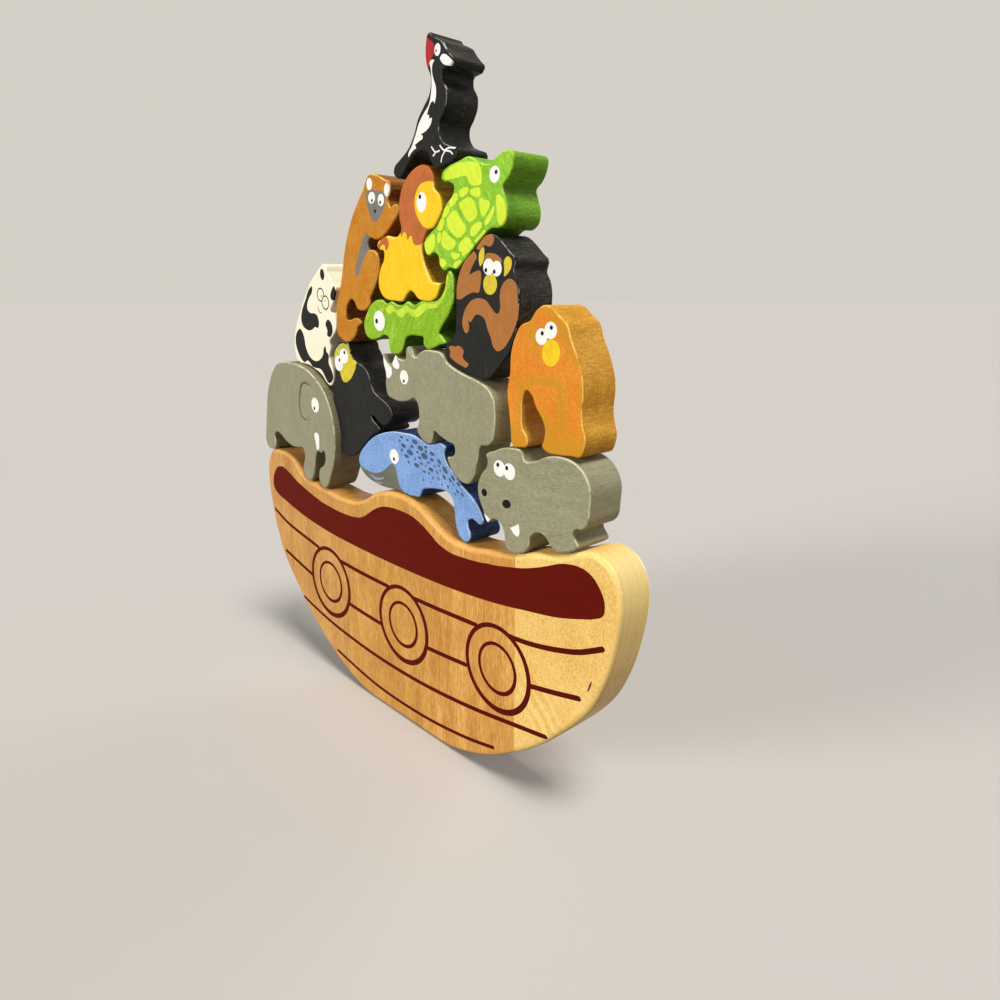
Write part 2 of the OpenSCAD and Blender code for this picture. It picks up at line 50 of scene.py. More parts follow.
# Outlines, in millimetres
SHEET_AT = (1.5, 1.5)  # zero of the drawn sheet
BOARD_JOINTS = (-51.5, 16.5, 84.5)
ON_JOINT = 0.02  # a point this close to a joint is on it
RIM_STEP = 2.5  # longest stretch of a rim, other than an upright one
EASE_ANGLES = (20, 38, 55, 72, 90)  # of the rings of points on an eased edge
FLAT_RING = 1.3  # how far in the ring past them lies, in radii of that edge
SIDE_ROW = 1.4  # from an eased edge to the next row on the side
CAP_ANGLES = (60, 30, 0, -30, -60)  # round a stroke's end
GROOVE_ROWS = (-1.15, -1, -0.8, -0.55, -0.28, 0, 0.28, 0.55, 0.8, 1, 1.15)  # in half widths

# Surfaces
BUMP_DEPTH = 0.0001  # metres
LIT_EDGE_WAY = (0.72, -0.35, 0.6)  # edges that face this way get most of the pale edge line: a painted highlight on top of the wear
# Painted light: the pale board is made paler and creamier where it faces up and to the right
PALE_END_LIT_WAY, PALE_END_PAINTED_LIGHT = (0.86, 0, 0.5), (255, 240, 172)
FAN_WAY, FAN = (0.78, 0, 0.86), ((95, 54), (106, 42))  # rays in the pale board's grain
DOTTED = ((92, 84), (122, 84))  # where that board has most pores
WEAVE_WAYS = ((3.7, 0, 0), (0, 0, 3.7))
RED, LINE, WHITE, BLACK = "ark_red", "ark_line", "paint_white", "paint_black"


# Shaders
def srgb(r, g, b):
    """A linear colour from display values of 0 to 255."""
    def one(c):
        c /= 255
        return c / 12.92 if c <= 0.04045 else ((c + 0.055) / 1.055) ** 2.4
    return (one(r), one(g), one(b), 1)


def tone(colour, by):
    """The colour made darker or lighter by a factor on its display values."""
    return tuple(min(255, c * by) for c in colour)


class Tree:
    """The node tree of a material or world, with short forms for the nodes used here."""

    def __init__(self, owner):
        owner.use_nodes = True
        self.owner, self.tree = owner, owner.node_tree
        self.tree.nodes.clear()
        total = sum((i + 1) * ord(c) for i, c in enumerate(owner.name))
        self.shift = (total % 97 * 3.1, total % 53 * 5.3, total % 71 * 4.7)

    def node(self, kind, inputs=None, **props):
        made = self.tree.nodes.new(kind)
        for key, value in props.items():
            setattr(made, key, value)
        for key, value in (inputs or {}).items():
            if isinstance(value, bpy.types.NodeSocket):
                self.tree.links.new(value, made.inputs[key])
            else:
                made.inputs[key].default_value = value
        return made

    def maths(self, operation, a, b=0, c=0, **props):
        return self.node("ShaderNodeMath", {0: a, 1: b, 2: c}, operation=operation, **props).outputs[0]

    def times(self, a, b):
        return self.maths("MULTIPLY", a, b)

    def total(self, first, *rest):
        for value in rest:
            first = self.maths("ADD", first, value)
        return first

    def vector(self, operation, a, b, output=0):
        return self.node("ShaderNodeVectorMath", {0: a, 1: b}, operation=operation).outputs[output]

    def dot(self, a, b):
        return self.vector("DOT_PRODUCT", a, b, 1)

    def between(self, value, low, high, to_low=0, to_high=1):
        return self.node("ShaderNodeMapRange", {0: value, 1: low, 2: high, 3: to_low, 4: to_high},
                         interpolation_type="SMOOTHSTEP").outputs[0]

    def mix(self, factor, a, b):
        return self.node("ShaderNodeMix", {0: factor, 6: a, 7: b}, data_type="RGBA").outputs[2]

    def tones(self, value, dark, colour, light):
        """Dark at 0, the colour at a half and light at 1."""
        made = self.node("ShaderNodeValToRGB", {0: value})
        made.color_ramp.elements.new(0.5)
        for element, shade in zip(made.color_ramp.elements, (dark, colour, light)):
            element.color = srgb(*shade)
        return made.outputs[0]

    def place(self, turn=0, shift=None):
        """Position in millimetres, shifted so that no two pieces share a pattern, and turned about y."""
        at = self.node("ShaderNodeTexCoord").outputs["Object"]
        at = self.vector("MULTIPLY", at, (MM, MM, MM))
        at = self.vector("ADD", at, self.shift if shift is None else shift)
        if turn:
            at = self.node("ShaderNodeVectorRotate", {"Vector": at, "Angle": math.radians(turn)},
                           rotation_type="Y_AXIS").outputs[0]
        return at

    def noise(self, at, stretch, gain=1, detail=3, rough=0.55):
        """Noise about zero, whose features are about stretch millimetres along x, y and z, or each way."""
        stretch = stretch if isinstance(stretch, tuple) else (stretch, stretch, stretch)
        at = self.vector("MULTIPLY", at, tuple(1 / s for s in stretch))
        made = self.node("ShaderNodeTexNoise",
                         {"Vector": at, "Scale": 1, "Detail": detail, "Roughness": rough})
        return self.maths("MULTIPLY_ADD", made.outputs["Fac"], gain, -gain / 2)

    def edge(self):
        """Distance from the middle of the eased edge in millimetres."""
        return self.node("ShaderNodeAttribute", attribute_name="edge").outputs["Fac"]

    def facing(self, way):
        """How far the surface faces a way."""
        return self.dot(self.node("ShaderNodeNewGeometry").outputs["Normal"], way)

    def beside(self, a, b):
        """Distance in millimetres, on the face, from the line between two points."""
        start, way = Vector((a[0], 0, a[1])), Vector((b[0] - a[0], 0, b[1] - a[1]))
        at = self.vector("MULTIPLY", self.place(0, (0, 0, 0)), (1, 0, 1))
        at = self.vector("SUBTRACT", at, start)
        along = self.dot(at, way / way.length_squared)
        along = self.node("ShaderNodeClamp", {"Value": along}).outputs[0]
        foot = self.node("ShaderNodeVectorMath", {0: way, "Scale": along}, operation="SCALE").outputs[0]
        return self.vector("DISTANCE", at, foot, 1)

    def seen(self):
        """1 for the rays that show the background, and 0 for those that light the object."""
        path = self.node("ShaderNodeLightPath").outputs
        mirrored = self.maths("MAXIMUM", path["Is Glossy Ray"], path["Is Transmission Ray"])
        return self.maths("ADD", path["Is Camera Ray"], mirrored, use_clamp=True)

    def finish(self, colour, rough, height, bump, specular=0.12, coat=0):
        """The material itself, a matt or varnished surface."""
        normal = self.node("ShaderNodeBump", {"Height": height, "Distance": BUMP_DEPTH, "Strength": bump})
        shader = self.node("ShaderNodeBsdfPrincipled", {
            "Base Color": colour, "Roughness": rough, "Normal": normal.outputs[0],
            "Coat Weight": coat, "Coat Roughness": 0.25, "Specular IOR Level": specular})
        self.node("ShaderNodeOutputMaterial", {0: shader.outputs[0]})
        return self.owner


def material(name):
    return Tree(bpy.data.materials.new(name))


def paint(name, colour, dark=None, light=None, turn=0, grain=1.6, length=5, speckle=1.6, cloud=0.8,
          side=False, weave=0, second=None, sprayed=(), flecks=None, worn=None, worn_width=0.45,
          worn_gaps=0, rough=0.5):
    """Thin matt paint over sawn wood: the grain shows, and a pale line runs along the edges, partly wear and
    partly a painted highlight that is strongest on the edges facing one way.
    """
    t = material(name)
    at = t.place(turn)
    fine = t.noise(at, (0.7, 5, 0.7) if side else (0.7, 0.7, length), grain, 1.5, 0.6)
    broad = t.noise(at, (2.6, 20, 2.6) if side else (2.4, 2.4, length * 5), grain * 0.5, 2)
    blotch = t.noise(at, 11)
    grit = t.noise(at, 0.8, 1, 1, 0.6)
    mix = t.total(0.5, fine, broad, t.times(blotch, cloud), t.times(grit, speckle))
    shade = t.tones(mix, dark or tone(colour, 0.84), colour, light or tone(colour, 1.12))
    if weave:
        across, along = (t.dot(t.place(), way) for way in WEAVE_WAYS)
        threads = t.times(t.maths("SINE", across), t.maths("SINE", along))
        shade = t.mix(t.times(t.between(threads, 0, 0.7), weave), shade, srgb(*light))
    if second:
        near = 0
        for a, b, reach in sprayed:
            ragged = t.total(t.beside(a, b), t.times(grit, 9))
            near = t.maths("MAXIMUM", near, t.between(ragged, reach, 0))
        shade = t.mix(t.times(near, 0.85), shade, srgb(*second))
    if flecks:
        dots = t.between(t.noise(at, 0.6, 1, 1, 0.5), 0.15, 0.23)
        shade = t.mix(t.times(dots, 0.7), shade, srgb(*flecks))
    # The pale edge line: ragged wear with gaps, and a painted highlight where it is weighted to the edges
    # that face one way
    if worn:
        far = t.total(t.edge(), t.noise(at, 1, worn_width * 2, 3, 0.7))
        line = t.between(far, worn_width, worn_width * 0.4)
        gaps = t.between(t.noise(at, 6, 1, 3, 0.6), worn_gaps - 0.1, worn_gaps + 0.06)
        # Painted highlight: the line is kept mostly to the edges that face one way
        lit = t.between(t.facing(LIT_EDGE_WAY), 0.35, 0.75)
        shade = t.mix(t.times(t.times(line, gaps), t.times(lit, 0.9)), shade, srgb(*worn))
    return t.finish(shade, t.between(grit, -0.2, 0.2, rough - 0.06, rough + 0.08), t.total(fine, grit), 0.3)


def flank(animal_name, *tones, **look):
    """The paint of an animal's sides, whose streaks run from front to back, in tones of their own, some set
    lighter or darker than the face to match the light on that side: painted light and shade.
    """
    return paint(animal_name + "_side", *tones, side=True, **look)


def wood(name, dark, colour, light, pale=False):
    """Varnished hardwood: short upright streaks and flecks, or the paler board with dots and a soft fan."""
    t = material(name)
    at = t.place()
    rings = t.noise(at, (30, 1.5, 45), 0.9)
    broad = t.noise(at, (9, 9, 70), 0.5 if pale else 1.2)
    streak = t.noise(at, (0.9, 0.9, 1.5) if pale else (0.75, 0.75, 11), 1.3, 3, 0.65)
    fine = t.noise(at, (0.45, 0.45, 0.6) if pale else (0.42, 0.42, 3.4), 1.5, 2, 0.6)
    mix = t.total(0.5, rings, broad, streak, fine)
    pores = t.noise(at, (0.5, 0.5, 0.75) if pale else (0.34, 0.34, 3), 1, 1, 0.5)
    patchy = t.noise(at, (15, 15, 22), 1, 2)
    if pale:
        warp = t.noise(at, 22, 9, 2)
        fan = t.dot(t.place(), FAN_WAY)
        fan = t.times(t.maths("SINE", t.total(fan, warp)), 0.2)
        mix = t.total(mix, t.times(fan, t.between(t.beside(*FAN), 16, 4)))
        patchy = t.total(patchy, t.between(t.beside(*DOTTED), 22, 6, -0.02, 0.14))
    shade = t.tones(mix, dark, colour, light)
    dots = t.times(t.between(pores, 0.1, 0.18), t.between(patchy, -0.06, 0.1))
    shade = t.mix(t.times(dots, 0.5), shade, srgb(*tone(dark, 0.72)))
    # Painted highlight: the eased edges are mixed towards the light tone
    shade = t.mix(t.times(t.between(t.edge(), 2, 0.4), 0.25 if pale else 0.45), shade, srgb(*light))
    # Painted light: the pale board is paler on the surfaces that face up and to the right
    if pale:
        end = t.times(t.between(t.facing(PALE_END_LIT_WAY), 0.5, 1), 0.4)
        shade = t.mix(end, shade, srgb(*PALE_END_PAINTED_LIGHT))
    return t.finish(shade, t.between(streak, -0.2, 0.2, 0.42, 0.5), t.total(streak, fine), 0.2, 0.25, 0.1)


def enamel(name, colour, rough=0.45, vary=0.08, speckle=1.2, specular=0.12):
    """A thicker, smoother paint for marks and eyes."""
    t = material(name)
    at = t.place()
    grit = t.noise(at, (0.7, 0.7, 1.4), speckle, 2, 0.6)
    mix = t.total(0.5, t.noise(at, 5, 1.5), grit)
    shade = t.tones(mix, tone(colour, 1 - 1.5 * vary), colour, tone(colour, 1 + vary))
    return t.finish(shade, t.between(grit, -0.2, 0.2, rough - 0.05, rough + 0.07), grit, 0.12, specular)


# Outlines and marks
def unit(ways):
    """Directions at a length of one."""
    return ways / np.maximum(np.hypot(ways[:, 0], ways[:, 1]), TINY)[:, None]


def right_of(ways):
    """Directions of length one, a quarter turn to the right of others."""
    return unit(np.stack([ways[:, 1], -ways[:, 0]], 1))


def turning(loop):
    """Twice a loop's area, positive where it runs anticlockwise."""
    return (loop[:, 0] * np.roll(loop[:, 1], -1) - np.roll(loop[:, 0], -1) * loop[:, 1]).sum()


def curve(points, closed=True, steps=4):
    """The smooth line through points; a third value of 1 marks a sharp corner."""
    n = len(points)
    p = np.array([q[:2] for q in points], float)
    sharp = [len(q) > 2 for q in points]
    if not closed:
        sharp[0] = sharp[-1] = True

    def heading(i):
        a, b, c = p[i - 1], p[i], p[(i + 1) % n]
        u, v = np.hypot(*(b - a)), np.hypot(*(c - b))
        return ((b - a) / u * v + (c - b) / v * u) / (u + v)

    out = []
    for i in range(n if closed else n - 1):
        j = (i + 1) % n
        reach = np.hypot(*(p[j] - p[i]))
        straight = (p[j] - p[i]) / reach
        m = (straight if sharp[i] else heading(i)) * reach
        k = (straight if sharp[j] else heading(j)) * reach
        for s in range(steps):
            t = s / steps
            out.append((2 * t**3 - 3 * t**2 + 1) * p[i] + (t**3 - 2 * t**2 + t) * m
                       + (3 * t**2 - 2 * t**3) * p[j] + (t**3 - t**2) * k)
    if not closed:
        out.append(p[-1])
    return np.array(out)


def oval(x, z, rx, rz=None, turn=0, n=20):
    """A round or oval loop of n points, turned by degrees."""
    a = np.linspace(0, 2 * math.pi, n, endpoint=False)
    u, v = rx * np.cos(a), (rz or rx) * np.sin(a)
    c, s = math.cos(math.radians(turn)), math.sin(math.radians(turn))
    return np.stack([x + c * u - s * v, z + s * u + c * v], 1)


def stroke(points, width, steps=4):
    """A brushed line of a width, or of a width at each point, with round ends."""
    mid = curve(points, closed=False, steps=steps)
    w = np.interp(np.linspace(0, 1, len(mid)), np.linspace(0, 1, np.size(width)), np.atleast_1d(width)) / 2
    way = np.gradient(mid, axis=0)
    off, way = -right_of(way), unit(way)
    cap = []
    for i, end in ((-1, 1), (0, -1)):
        for a in np.radians(CAP_ANGLES):
            cap.append(mid[i] + w[i] * end * (math.cos(a) * way[i] + math.sin(a) * off[i]))
    n = len(CAP_ANGLES)
    return np.concatenate([mid + off * w[:, None], cap[:n], (mid - off * w[:, None])[::-1], cap[n:]])


def inside(points, polygon):
    """Which points lie in a closed polygon."""
    x, z = points[:, 0:1], points[:, 1:2]
    a, b = polygon, np.roll(polygon, -1, 0)
    straddle = (a[:, 1] > z) != (b[:, 1] > z)
    rise = np.where(b[:, 1] == a[:, 1], 1e-12, b[:, 1] - a[:, 1])
    cross = a[:, 0] + (z - a[:, 1]) * (b[:, 0] - a[:, 0]) / rise
    return (straddle & (x < cross)).sum(1) % 2 == 1


def nearest(points, a, b):
    """For each point, its distance to the closest segment a-b, the direction there, and which it is."""
    d = b - a
    t = ((points[:, None] - a) * d).sum(2) / (d * d).sum(1)
    gap = a + np.clip(t, 0, 1)[..., None] * d - points[:, None]
    dist = np.hypot(gap[..., 0], gap[..., 1])
    i = dist.argmin(1)
    rows = np.arange(len(points))
    best = dist[rows, i]
    return best, gap[rows, i] / np.maximum(best, TINY)[:, None], i


def rim_of(node):
    """Outline of a CAD node in millimetres, anticlockwise as seen from the front, and its faces' y."""
    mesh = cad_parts[node].data
    mesh.calc_loop_triangles()
    co = np.array([v.co for v in mesh.vertices]) * MM
    back, face = co[:, 1].max(), co[:, 1].min()
    keys = {}
    merged = np.array([keys.setdefault((round(c[0], 3), round(c[2], 3)), len(keys)) for c in co])
    place = np.array(list(keys))
    directed = set()
    for tri in mesh.loop_triangles:
        v = list(tri.vertices)
        if (co[v, 1] > back - 1e-3).all():
            v = list(merged[v])
            directed.update(zip(v, v[1:] + v[:1]))
    onward = {i: j for i, j in directed if (j, i) not in directed}
    start = next(iter(onward))
    loop, at = [start], onward[start]
    while at != start:
        loop.append(at)
        at = onward[at]
    rim = place[loop]
    rim = rim if turning(rim) > 0 else rim[::-1]
    split = []
    for a, b in zip(rim, np.roll(rim, -1, 0)):
        count = 1 if abs(a[0] - b[0]) < ON_JOINT else math.ceil(np.hypot(*(b - a)) / RIM_STEP)
        split += [a + (b - a) * i / count for i in range(count)]
    return np.array(split), face, back


def in_space(flat, y):
    """Points or ways on the sheet, with a y of their own."""
    return np.stack([flat[:, 0], np.zeros(len(flat)) + y, flat[:, 1]], 1)


# Pieces
def placed(name, data):
    """A new object in the scene."""
    made = bpy.data.objects.new(name, data)
    bpy.context.scene.collection.objects.link(made)
    return made


class Piece:
    """A flat sawn piece: eased edges, marks cut into both faces, and sides of their own colour.

    Its marks are drawn in a box: left, right, foot and top. A groove is a line, a width and a depth. An
    entry of snug nudges the rim: x, z, how far round, and which way.
    """

    def __init__(self, node, name, body, slot, drawn=None, eased=0.85, groove=None, joints=(), snug=()):
        self.node, self.name, self.body, self.slot = node, name, body, slot
        self.eased, self.joints, self.marks = eased, np.array(joints, float), []
        self.rim, self.front, self.back = rim_of(node)
        for x, z, reach, way in snug:
            near = np.clip(1 - np.hypot(*(self.rim - (x, z)).T) / reach, 0, 1)
            self.rim += np.minimum(near * 2, 1)[:, None] * np.array(way)
        self.k, self.move = 1, np.array(SHEET_AT)
        if drawn:
            left, right, foot, top = drawn
            lo, hi = self.rim.min(0), self.rim.max(0)
            self.k = (hi[1] - lo[1]) / (top - foot)
            self.move = np.array([(lo[0] + hi[0] - self.k * (left + right)) / 2, lo[1] - self.k * foot])
        self.groove = groove and (self.fitted(curve(groove[0], closed=False)), *groove[1:])

    def fitted(self, points):
        """Points of the drawing as they lie on the piece."""
        return np.array(points) * self.k + self.move

    def mark(self, paint_name, polygon):
        self.marks.append((paint_name, self.fitted(polygon)))

    def patch(self, paint_name, points, steps=4, grown=0):
        """A smooth mark round points, grown outwards by a width."""
        shape = curve(points, steps=steps)
        along = np.roll(shape, -1, 0) - np.roll(shape, 1, 0)
        self.mark(paint_name, shape + right_of(along) * np.sign(turning(shape)) * grown)

    def eye(self, x, z, rx, rz, px, pz, pr, turn=0):
        """A white oval with a pupil at px, pz."""
        self.mark(WHITE, oval(x, z, rx, rz, turn, 24))
        self.mark(BLACK, oval(px, pz, pr, n=12))

    def jointed(self, x):
        """Which values of x lie on a glue joint."""
        return (abs(x[:, None] - self.joints) < ON_JOINT).any(1)

    def height(self, points):
        """For points of the face: how far the eased edge drops them, their normals, and their distances
        from that edge's middle and from the rim.
        """
        r = self.eased
        a, b = self.rim, np.roll(self.rim, -1, 0)
        free = ~(self.jointed(a[:, 0]) & self.jointed(b[:, 0]))
        a, b = a[free], b[free]
        d, way, i = nearest(points, a, b)
        side = right_of(b - a)
        for k in np.flatnonzero(d < 1e-3):
            near = (np.hypot(*(a - points[k]).T) < 2e-3) | (np.hypot(*(b - points[k]).T) < 2e-3)
            out = side[near].sum(0) if near.any() else side[i[k]]
            way[k] = out / np.hypot(*out)
        lean = np.clip(1 - d / r, 0, 1)
        upright = np.sqrt(1 - lean**2)
        normal = in_space(lean[:, None] * way, -upright)
        quarter = r * math.pi / 4
        arc = np.where(d < r, abs(r * np.arccos(lean) - quarter), quarter + d - r)
        return r - r * upright, normal, arc, d

    def rings(self):
        """Rings of points inside the rim, which give the eased edge its round."""
        rim, r = self.rim, self.eased
        held = self.jointed(rim[:, 0])
        out = right_of(np.roll(rim, -1, 0) - rim)
        out[held & np.roll(held, -1)] = 0
        corner = unit(out + np.roll(out, 1, 0))
        kept = []
        for d in [r * (1 - math.cos(math.radians(a))) for a in EASE_ANGLES] + [r * FLAT_RING]:
            ring = rim - corner * d
            down = np.sign(corner[held, 1]) * d / np.maximum(abs(corner[held, 1]), 0.2)
            ring[held] = np.stack([rim[held, 0], rim[held, 1] - down], 1)
            clear = self.height(ring)[3] > d * 0.97
            kept += list(ring[clear & (inside(ring, rim) | self.jointed(ring[:, 0]))])
        return kept

    def cut(self, base, side):
        """The face in triangles, cut along its marks, the paints' names, and each triangle's paint."""
        points, edges = [], []

        def add(line, closed=True):
            first, n = len(points), len(line)
            points.extend(line)
            edges.extend((first + i, first + (i + 1) % n) for i in range(n if closed else n - 1))

        add(self.rim)
        points.extend(self.rings())
        lo, hi = self.rim.min(0) - 1, self.rim.max(0) + 1
        marks = [(name, m) for name, m in self.marks if (m.max(0) >= lo).all() and (m.min(0) <= hi).all()]
        for _, polygon in marks:
            add(polygon)
        if self.groove:
            line, width, _ = self.groove
            for u in GROOVE_ROWS:
                add(line - right_of(np.gradient(line, axis=0)) * u * width / 2, closed=False)
        made = delaunay_2d_cdt([Vector(q) for q in points], edges, [], 0, 1e-4, False)
        flat, tris = np.array([tuple(v) for v in made[0]]), np.array(made[2])
        p = flat[tris]
        mid, u, v = p.mean(1), p[:, 1] - p[:, 0], p[:, 2] - p[:, 0]
        area = u[:, 0] * v[:, 1] - v[:, 0] * u[:, 1]
        tris[area < 0] = tris[area < 0][:, ::-1]
        kept = inside(mid, self.rim) & (abs(area) > 1e-7)
        tris, mid = tris[kept], mid[kept]
        used = np.unique(tris)
        names, index = [base, side], np.zeros(len(tris), int)
        for name, polygon in marks:
            name = base if name == "bare" else name
            if name not in names:
                names.append(name)
            index[inside(mid, polygon)] = names.index(name)
        return flat[used], np.searchsorted(used, tris), names, index

    def carve(self, flat, normal):
        """How deep the groove is at points of the front, and the normals with it."""
        if not self.groove:
            return 0, normal
        line, width, depth = self.groove
        gap, way, _ = nearest(flat, line[:-1], line[1:])
        within = gap < width / 2
        s = math.pi * np.clip(gap / (width / 2), 0, 1)
        steep = depth * 0.5 * math.pi / (width / 2) * np.sin(s)
        bent = in_space(way * steep[:, None], -1)
        bent /= np.linalg.norm(bent, axis=1)[:, None]
        return depth * 0.5 * (1 + np.cos(s)) * within, np.where(within[:, None], bent, normal)

    def shell(self, flat, tris, index):
        """Vertices, normals, edge distances, faces and their paints, of both faces and the sides."""
        deep, normal, arc, _ = self.height(flat)
        sunk, carved = self.carve(flat, normal)
        n, r, thick = len(flat), self.eased, self.back - self.front
        front, rear = in_space(flat, self.front + deep + sunk), in_space(flat, self.back - deep)
        verts, normals, edge = [front, rear], [carved, normal * (1, -1, 1)], [arc, arc]
        faces = [tuple(t) for t in tris] + [(c + n, b + n, a + n) for a, b, c in tris]
        paints = [*index, *index]
        directed = {(a, b) for t in tris for a, b in zip(t, np.roll(t, -1))}
        border = [(a, b) for a, b in directed if (b, a) not in directed]
        ring = np.array(sorted({i for pair in border for i in pair}))
        row = {v: k for k, v in enumerate(ring)}
        m = len(ring)
        out = normal[ring] * (1, 0, 1)
        out /= np.maximum(np.linalg.norm(out, axis=1), TINY)[:, None]
        straight = thick - 2 * r
        for down in (SIDE_ROW, thick / 2 - r, straight - SIDE_ROW):
            y = front[ring, 1] + down * (rear[ring, 1] - front[ring, 1]) / straight
            verts.append(in_space(flat[ring], y))
            normals.append(out)
            edge.append(np.full(m, r * math.pi / 4 + min(down, straight - down)))
        rows = [ring, *(2 * n + k * m + np.arange(m) for k in range(3)), ring + n]
        for a, b in border:
            i, j = row[a], row[b]
            for up, down in zip(rows, rows[1:]):
                faces.append((up[j], up[i], down[i], down[j]))
                paints.append(1)
        return *(np.concatenate(v) for v in (verts, normals, edge)), faces, paints

    def build(self, base, side):
        """Make the piece, with its faces in one material and its sides in another."""
        flat, tris, names, index = self.cut(base.name, side.name)
        verts, normals, edge, faces, paints = self.shell(flat, tris, index)
        mesh = bpy.data.meshes.new(self.name)
        mesh.from_pydata([tuple(v) for v in verts / MM], [], [tuple(int(i) for i in f) for f in faces])
        for name in names:
            mesh.materials.append(bpy.data.materials[name])
        mesh.polygons.foreach_set("material_index", np.array(paints, np.int32))
        mesh.polygons.foreach_set("use_smooth", np.ones(len(faces), bool))
        attribute = mesh.attributes.new("edge", "FLOAT", "POINT")
        attribute.data.foreach_set("value", edge.astype(np.float32))
        mesh.validate(clean_customdata=False)
        mesh.update()
        mesh.normals_split_custom_set_from_vertices([tuple(v) for v in normals])
        made = placed(self.name, mesh)
        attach(made, self.body)
        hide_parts(self.node)


def animal(name, drawn, **shape):
    """An animal, whose node, body and slot go by its name."""
    return Piece(name, name + "_painted", name, name + "_paint", drawn, **shape)


# Shared paints
enamel(RED, (97, 18, 6), 0.5, 0.05, specular=0.04)
enamel(LINE, (86, 14, 5), 0.5, 0.1, specular=0.04)
enamel(WHITE, (250, 249, 243), 0.4, 0.02, 0.6)
enamel(BLACK, (15, 13, 12), 0.4, 0.1)
enamel("paint_yellow", (220, 198, 58))
enamel("paint_gold", (247, 205, 36))
enamel("scuff", (188, 184, 174))

# Ark
STRIPE = [
    (-134.9, 105.7), (-133.7, 109.3), (-130.9, 113.2), (-127.3, 116.1), (-123.7, 117.1), (-120.1, 117.3),
    (-116.6, 116.4), (-112.3, 115), (-108, 113.2), (-103.7, 111.3), (-98, 109.6), (-93, 108.2),
    (-87.3, 106.6), (-81.6, 105.4), (-75.9, 104.1), (-69.4, 103.4), (-62.3, 102.7), (-55.1, 102.3),
    (-48, 102.3), (-42.3, 102.6), (-35.7, 103.7), (-32.1, 105.1), (-28.6, 107.1), (-25, 109.3),
    (-21.4, 111.3), (-17.9, 112.9), (-13.6, 114.3), (-9.3, 115), (-4.3, 115.4), (0.7, 115.4), (5.7, 115.2),
    (10, 114.8), (14.3, 113.7), (18.6, 112.1), (22.9, 110.1), (26.4, 108.2), (30, 106.1), (34.3, 104.6),
    (38.6, 103.6), (43.6, 103.2), (49.3, 103.4), (55, 103.7), (61.4, 104.3), (65.7, 105), (70, 105.4),
    (76.2, 106.5), (82.9, 107.8), (88.6, 109.1), (94.3, 110.9), (100, 113), (104.8, 115), (108.6, 116.5),
    (113.3, 117.5), (117.1, 117.8), (121, 117.4), (124.8, 115.8), (127.6, 113.2), (130, 109.9),
    (131.2, 106.8), (131.4, 104.4), (131, 102), (130, 100.8), (127.6, 99.4), (119, 96.4), (106.7, 93.1),
    (92.4, 90.9), (75.2, 88.4), (60, 86.9), (31.4, 85.4), (0, 85.1), (-18.6, 85.3), (-40, 85.9),
    (-62.3, 87), (-76.6, 88.2), (-90.9, 90), (-105.1, 92.5), (-119.4, 95.9), (-130.1, 98.9), (-133.4, 100.7)]
PLANKS = [
    ([(-135, 87.5), (-130, 85.5), (-120, 82), (-110, 79.8), (-100, 78), (-90, 76.3), (-83, 75)],
     (2.1, 2.2)),
    ([(-59, 72.8), (-40, 71.8), (-12, 71.3)], 2.3),
    ([(9, 71.5), (30, 72), (58, 73.2)], 2.3),
    ([(80, 75.3), (90, 76), (100, 77.5), (110, 79.7), (120, 82.7), (125, 85), (131, 88)], (2.3, 2.4, 2.4)),
    ([(-124.5, 62.5), (-105, 57.8), (-92, 55)], 2.2),
    ([(-52, 49), (-36, 47.9), (-20, 47.3)], 2.3),
    ([(20, 48), (35, 49), (50, 50.2)], 2.3),
    ([(92, 56.5), (106, 59.2), (120, 62.3)], 2.4),
    ([(-105, 37), (-90, 33.5), (-70, 30), (-50, 27.8), (-30, 26.3), (0, 25.7), (20, 26.3), (40, 27.8),
      (60, 30), (80, 33), (102, 36.3)], (1.9, 2.2, 2.3)),
    ([(-68, 14), (-50, 10.8), (-30, 8), (-10, 7), (0, 7), (20, 7.7), (40, 9.7), (55, 12), (69, 15)], 1.9),
]
PORTHOLES = [(-71.6, 56.3), (0, 53.5), (71.6, 56.4)]
# Each porthole's discs: paint, middle from the porthole's, radius and number of points
RINGS = [(LINE, 0, 0, 21.6, 72), ("bare", -0.15, 0.3, 19.05, 72), (LINE, 0.1, 0.2, 12.75, 56),
         ("bare", 0, 0.35, 10.85, 56)]
HONEY = [
    ((176, 118, 48), (203, 146, 72), (226, 173, 99)), ((178, 119, 43), (205, 148, 65), (231, 178, 97)),
    ((184, 122, 46), (212, 151, 70), (238, 184, 104)), ((220, 167, 82), (241, 198, 110), (253, 222, 146))]
enamel("wood_fleck", (94, 58, 18))
for place, honey in zip(("left_end", "left", "right", "right_end"), HONEY):
    node, pale = "ark_%s_board" % place, place == "right_end"
    board = Piece(node, node + "_planed", "ark", "ark_pale_wood" if pale else "ark_wood", eased=2.6,
                  joints=BOARD_JOINTS)
    board.patch(RED, STRIPE, 3)
    for points, width in PLANKS:
        board.mark(LINE, stroke(points, width, 3))
    for x, z in PORTHOLES:
        for name, right, up, radius, n in RINGS:
            board.mark(name, oval(x + right, z + up, radius, n=n))
    board.mark("wood_fleck", stroke([(126.2, 72.3), (125.6, 70.4), (124.5, 67.6)], (0.4, 1, 0.6)))
    grain = wood("wood_" + node, *honey, pale=pale)
    board.build(grain, grain)

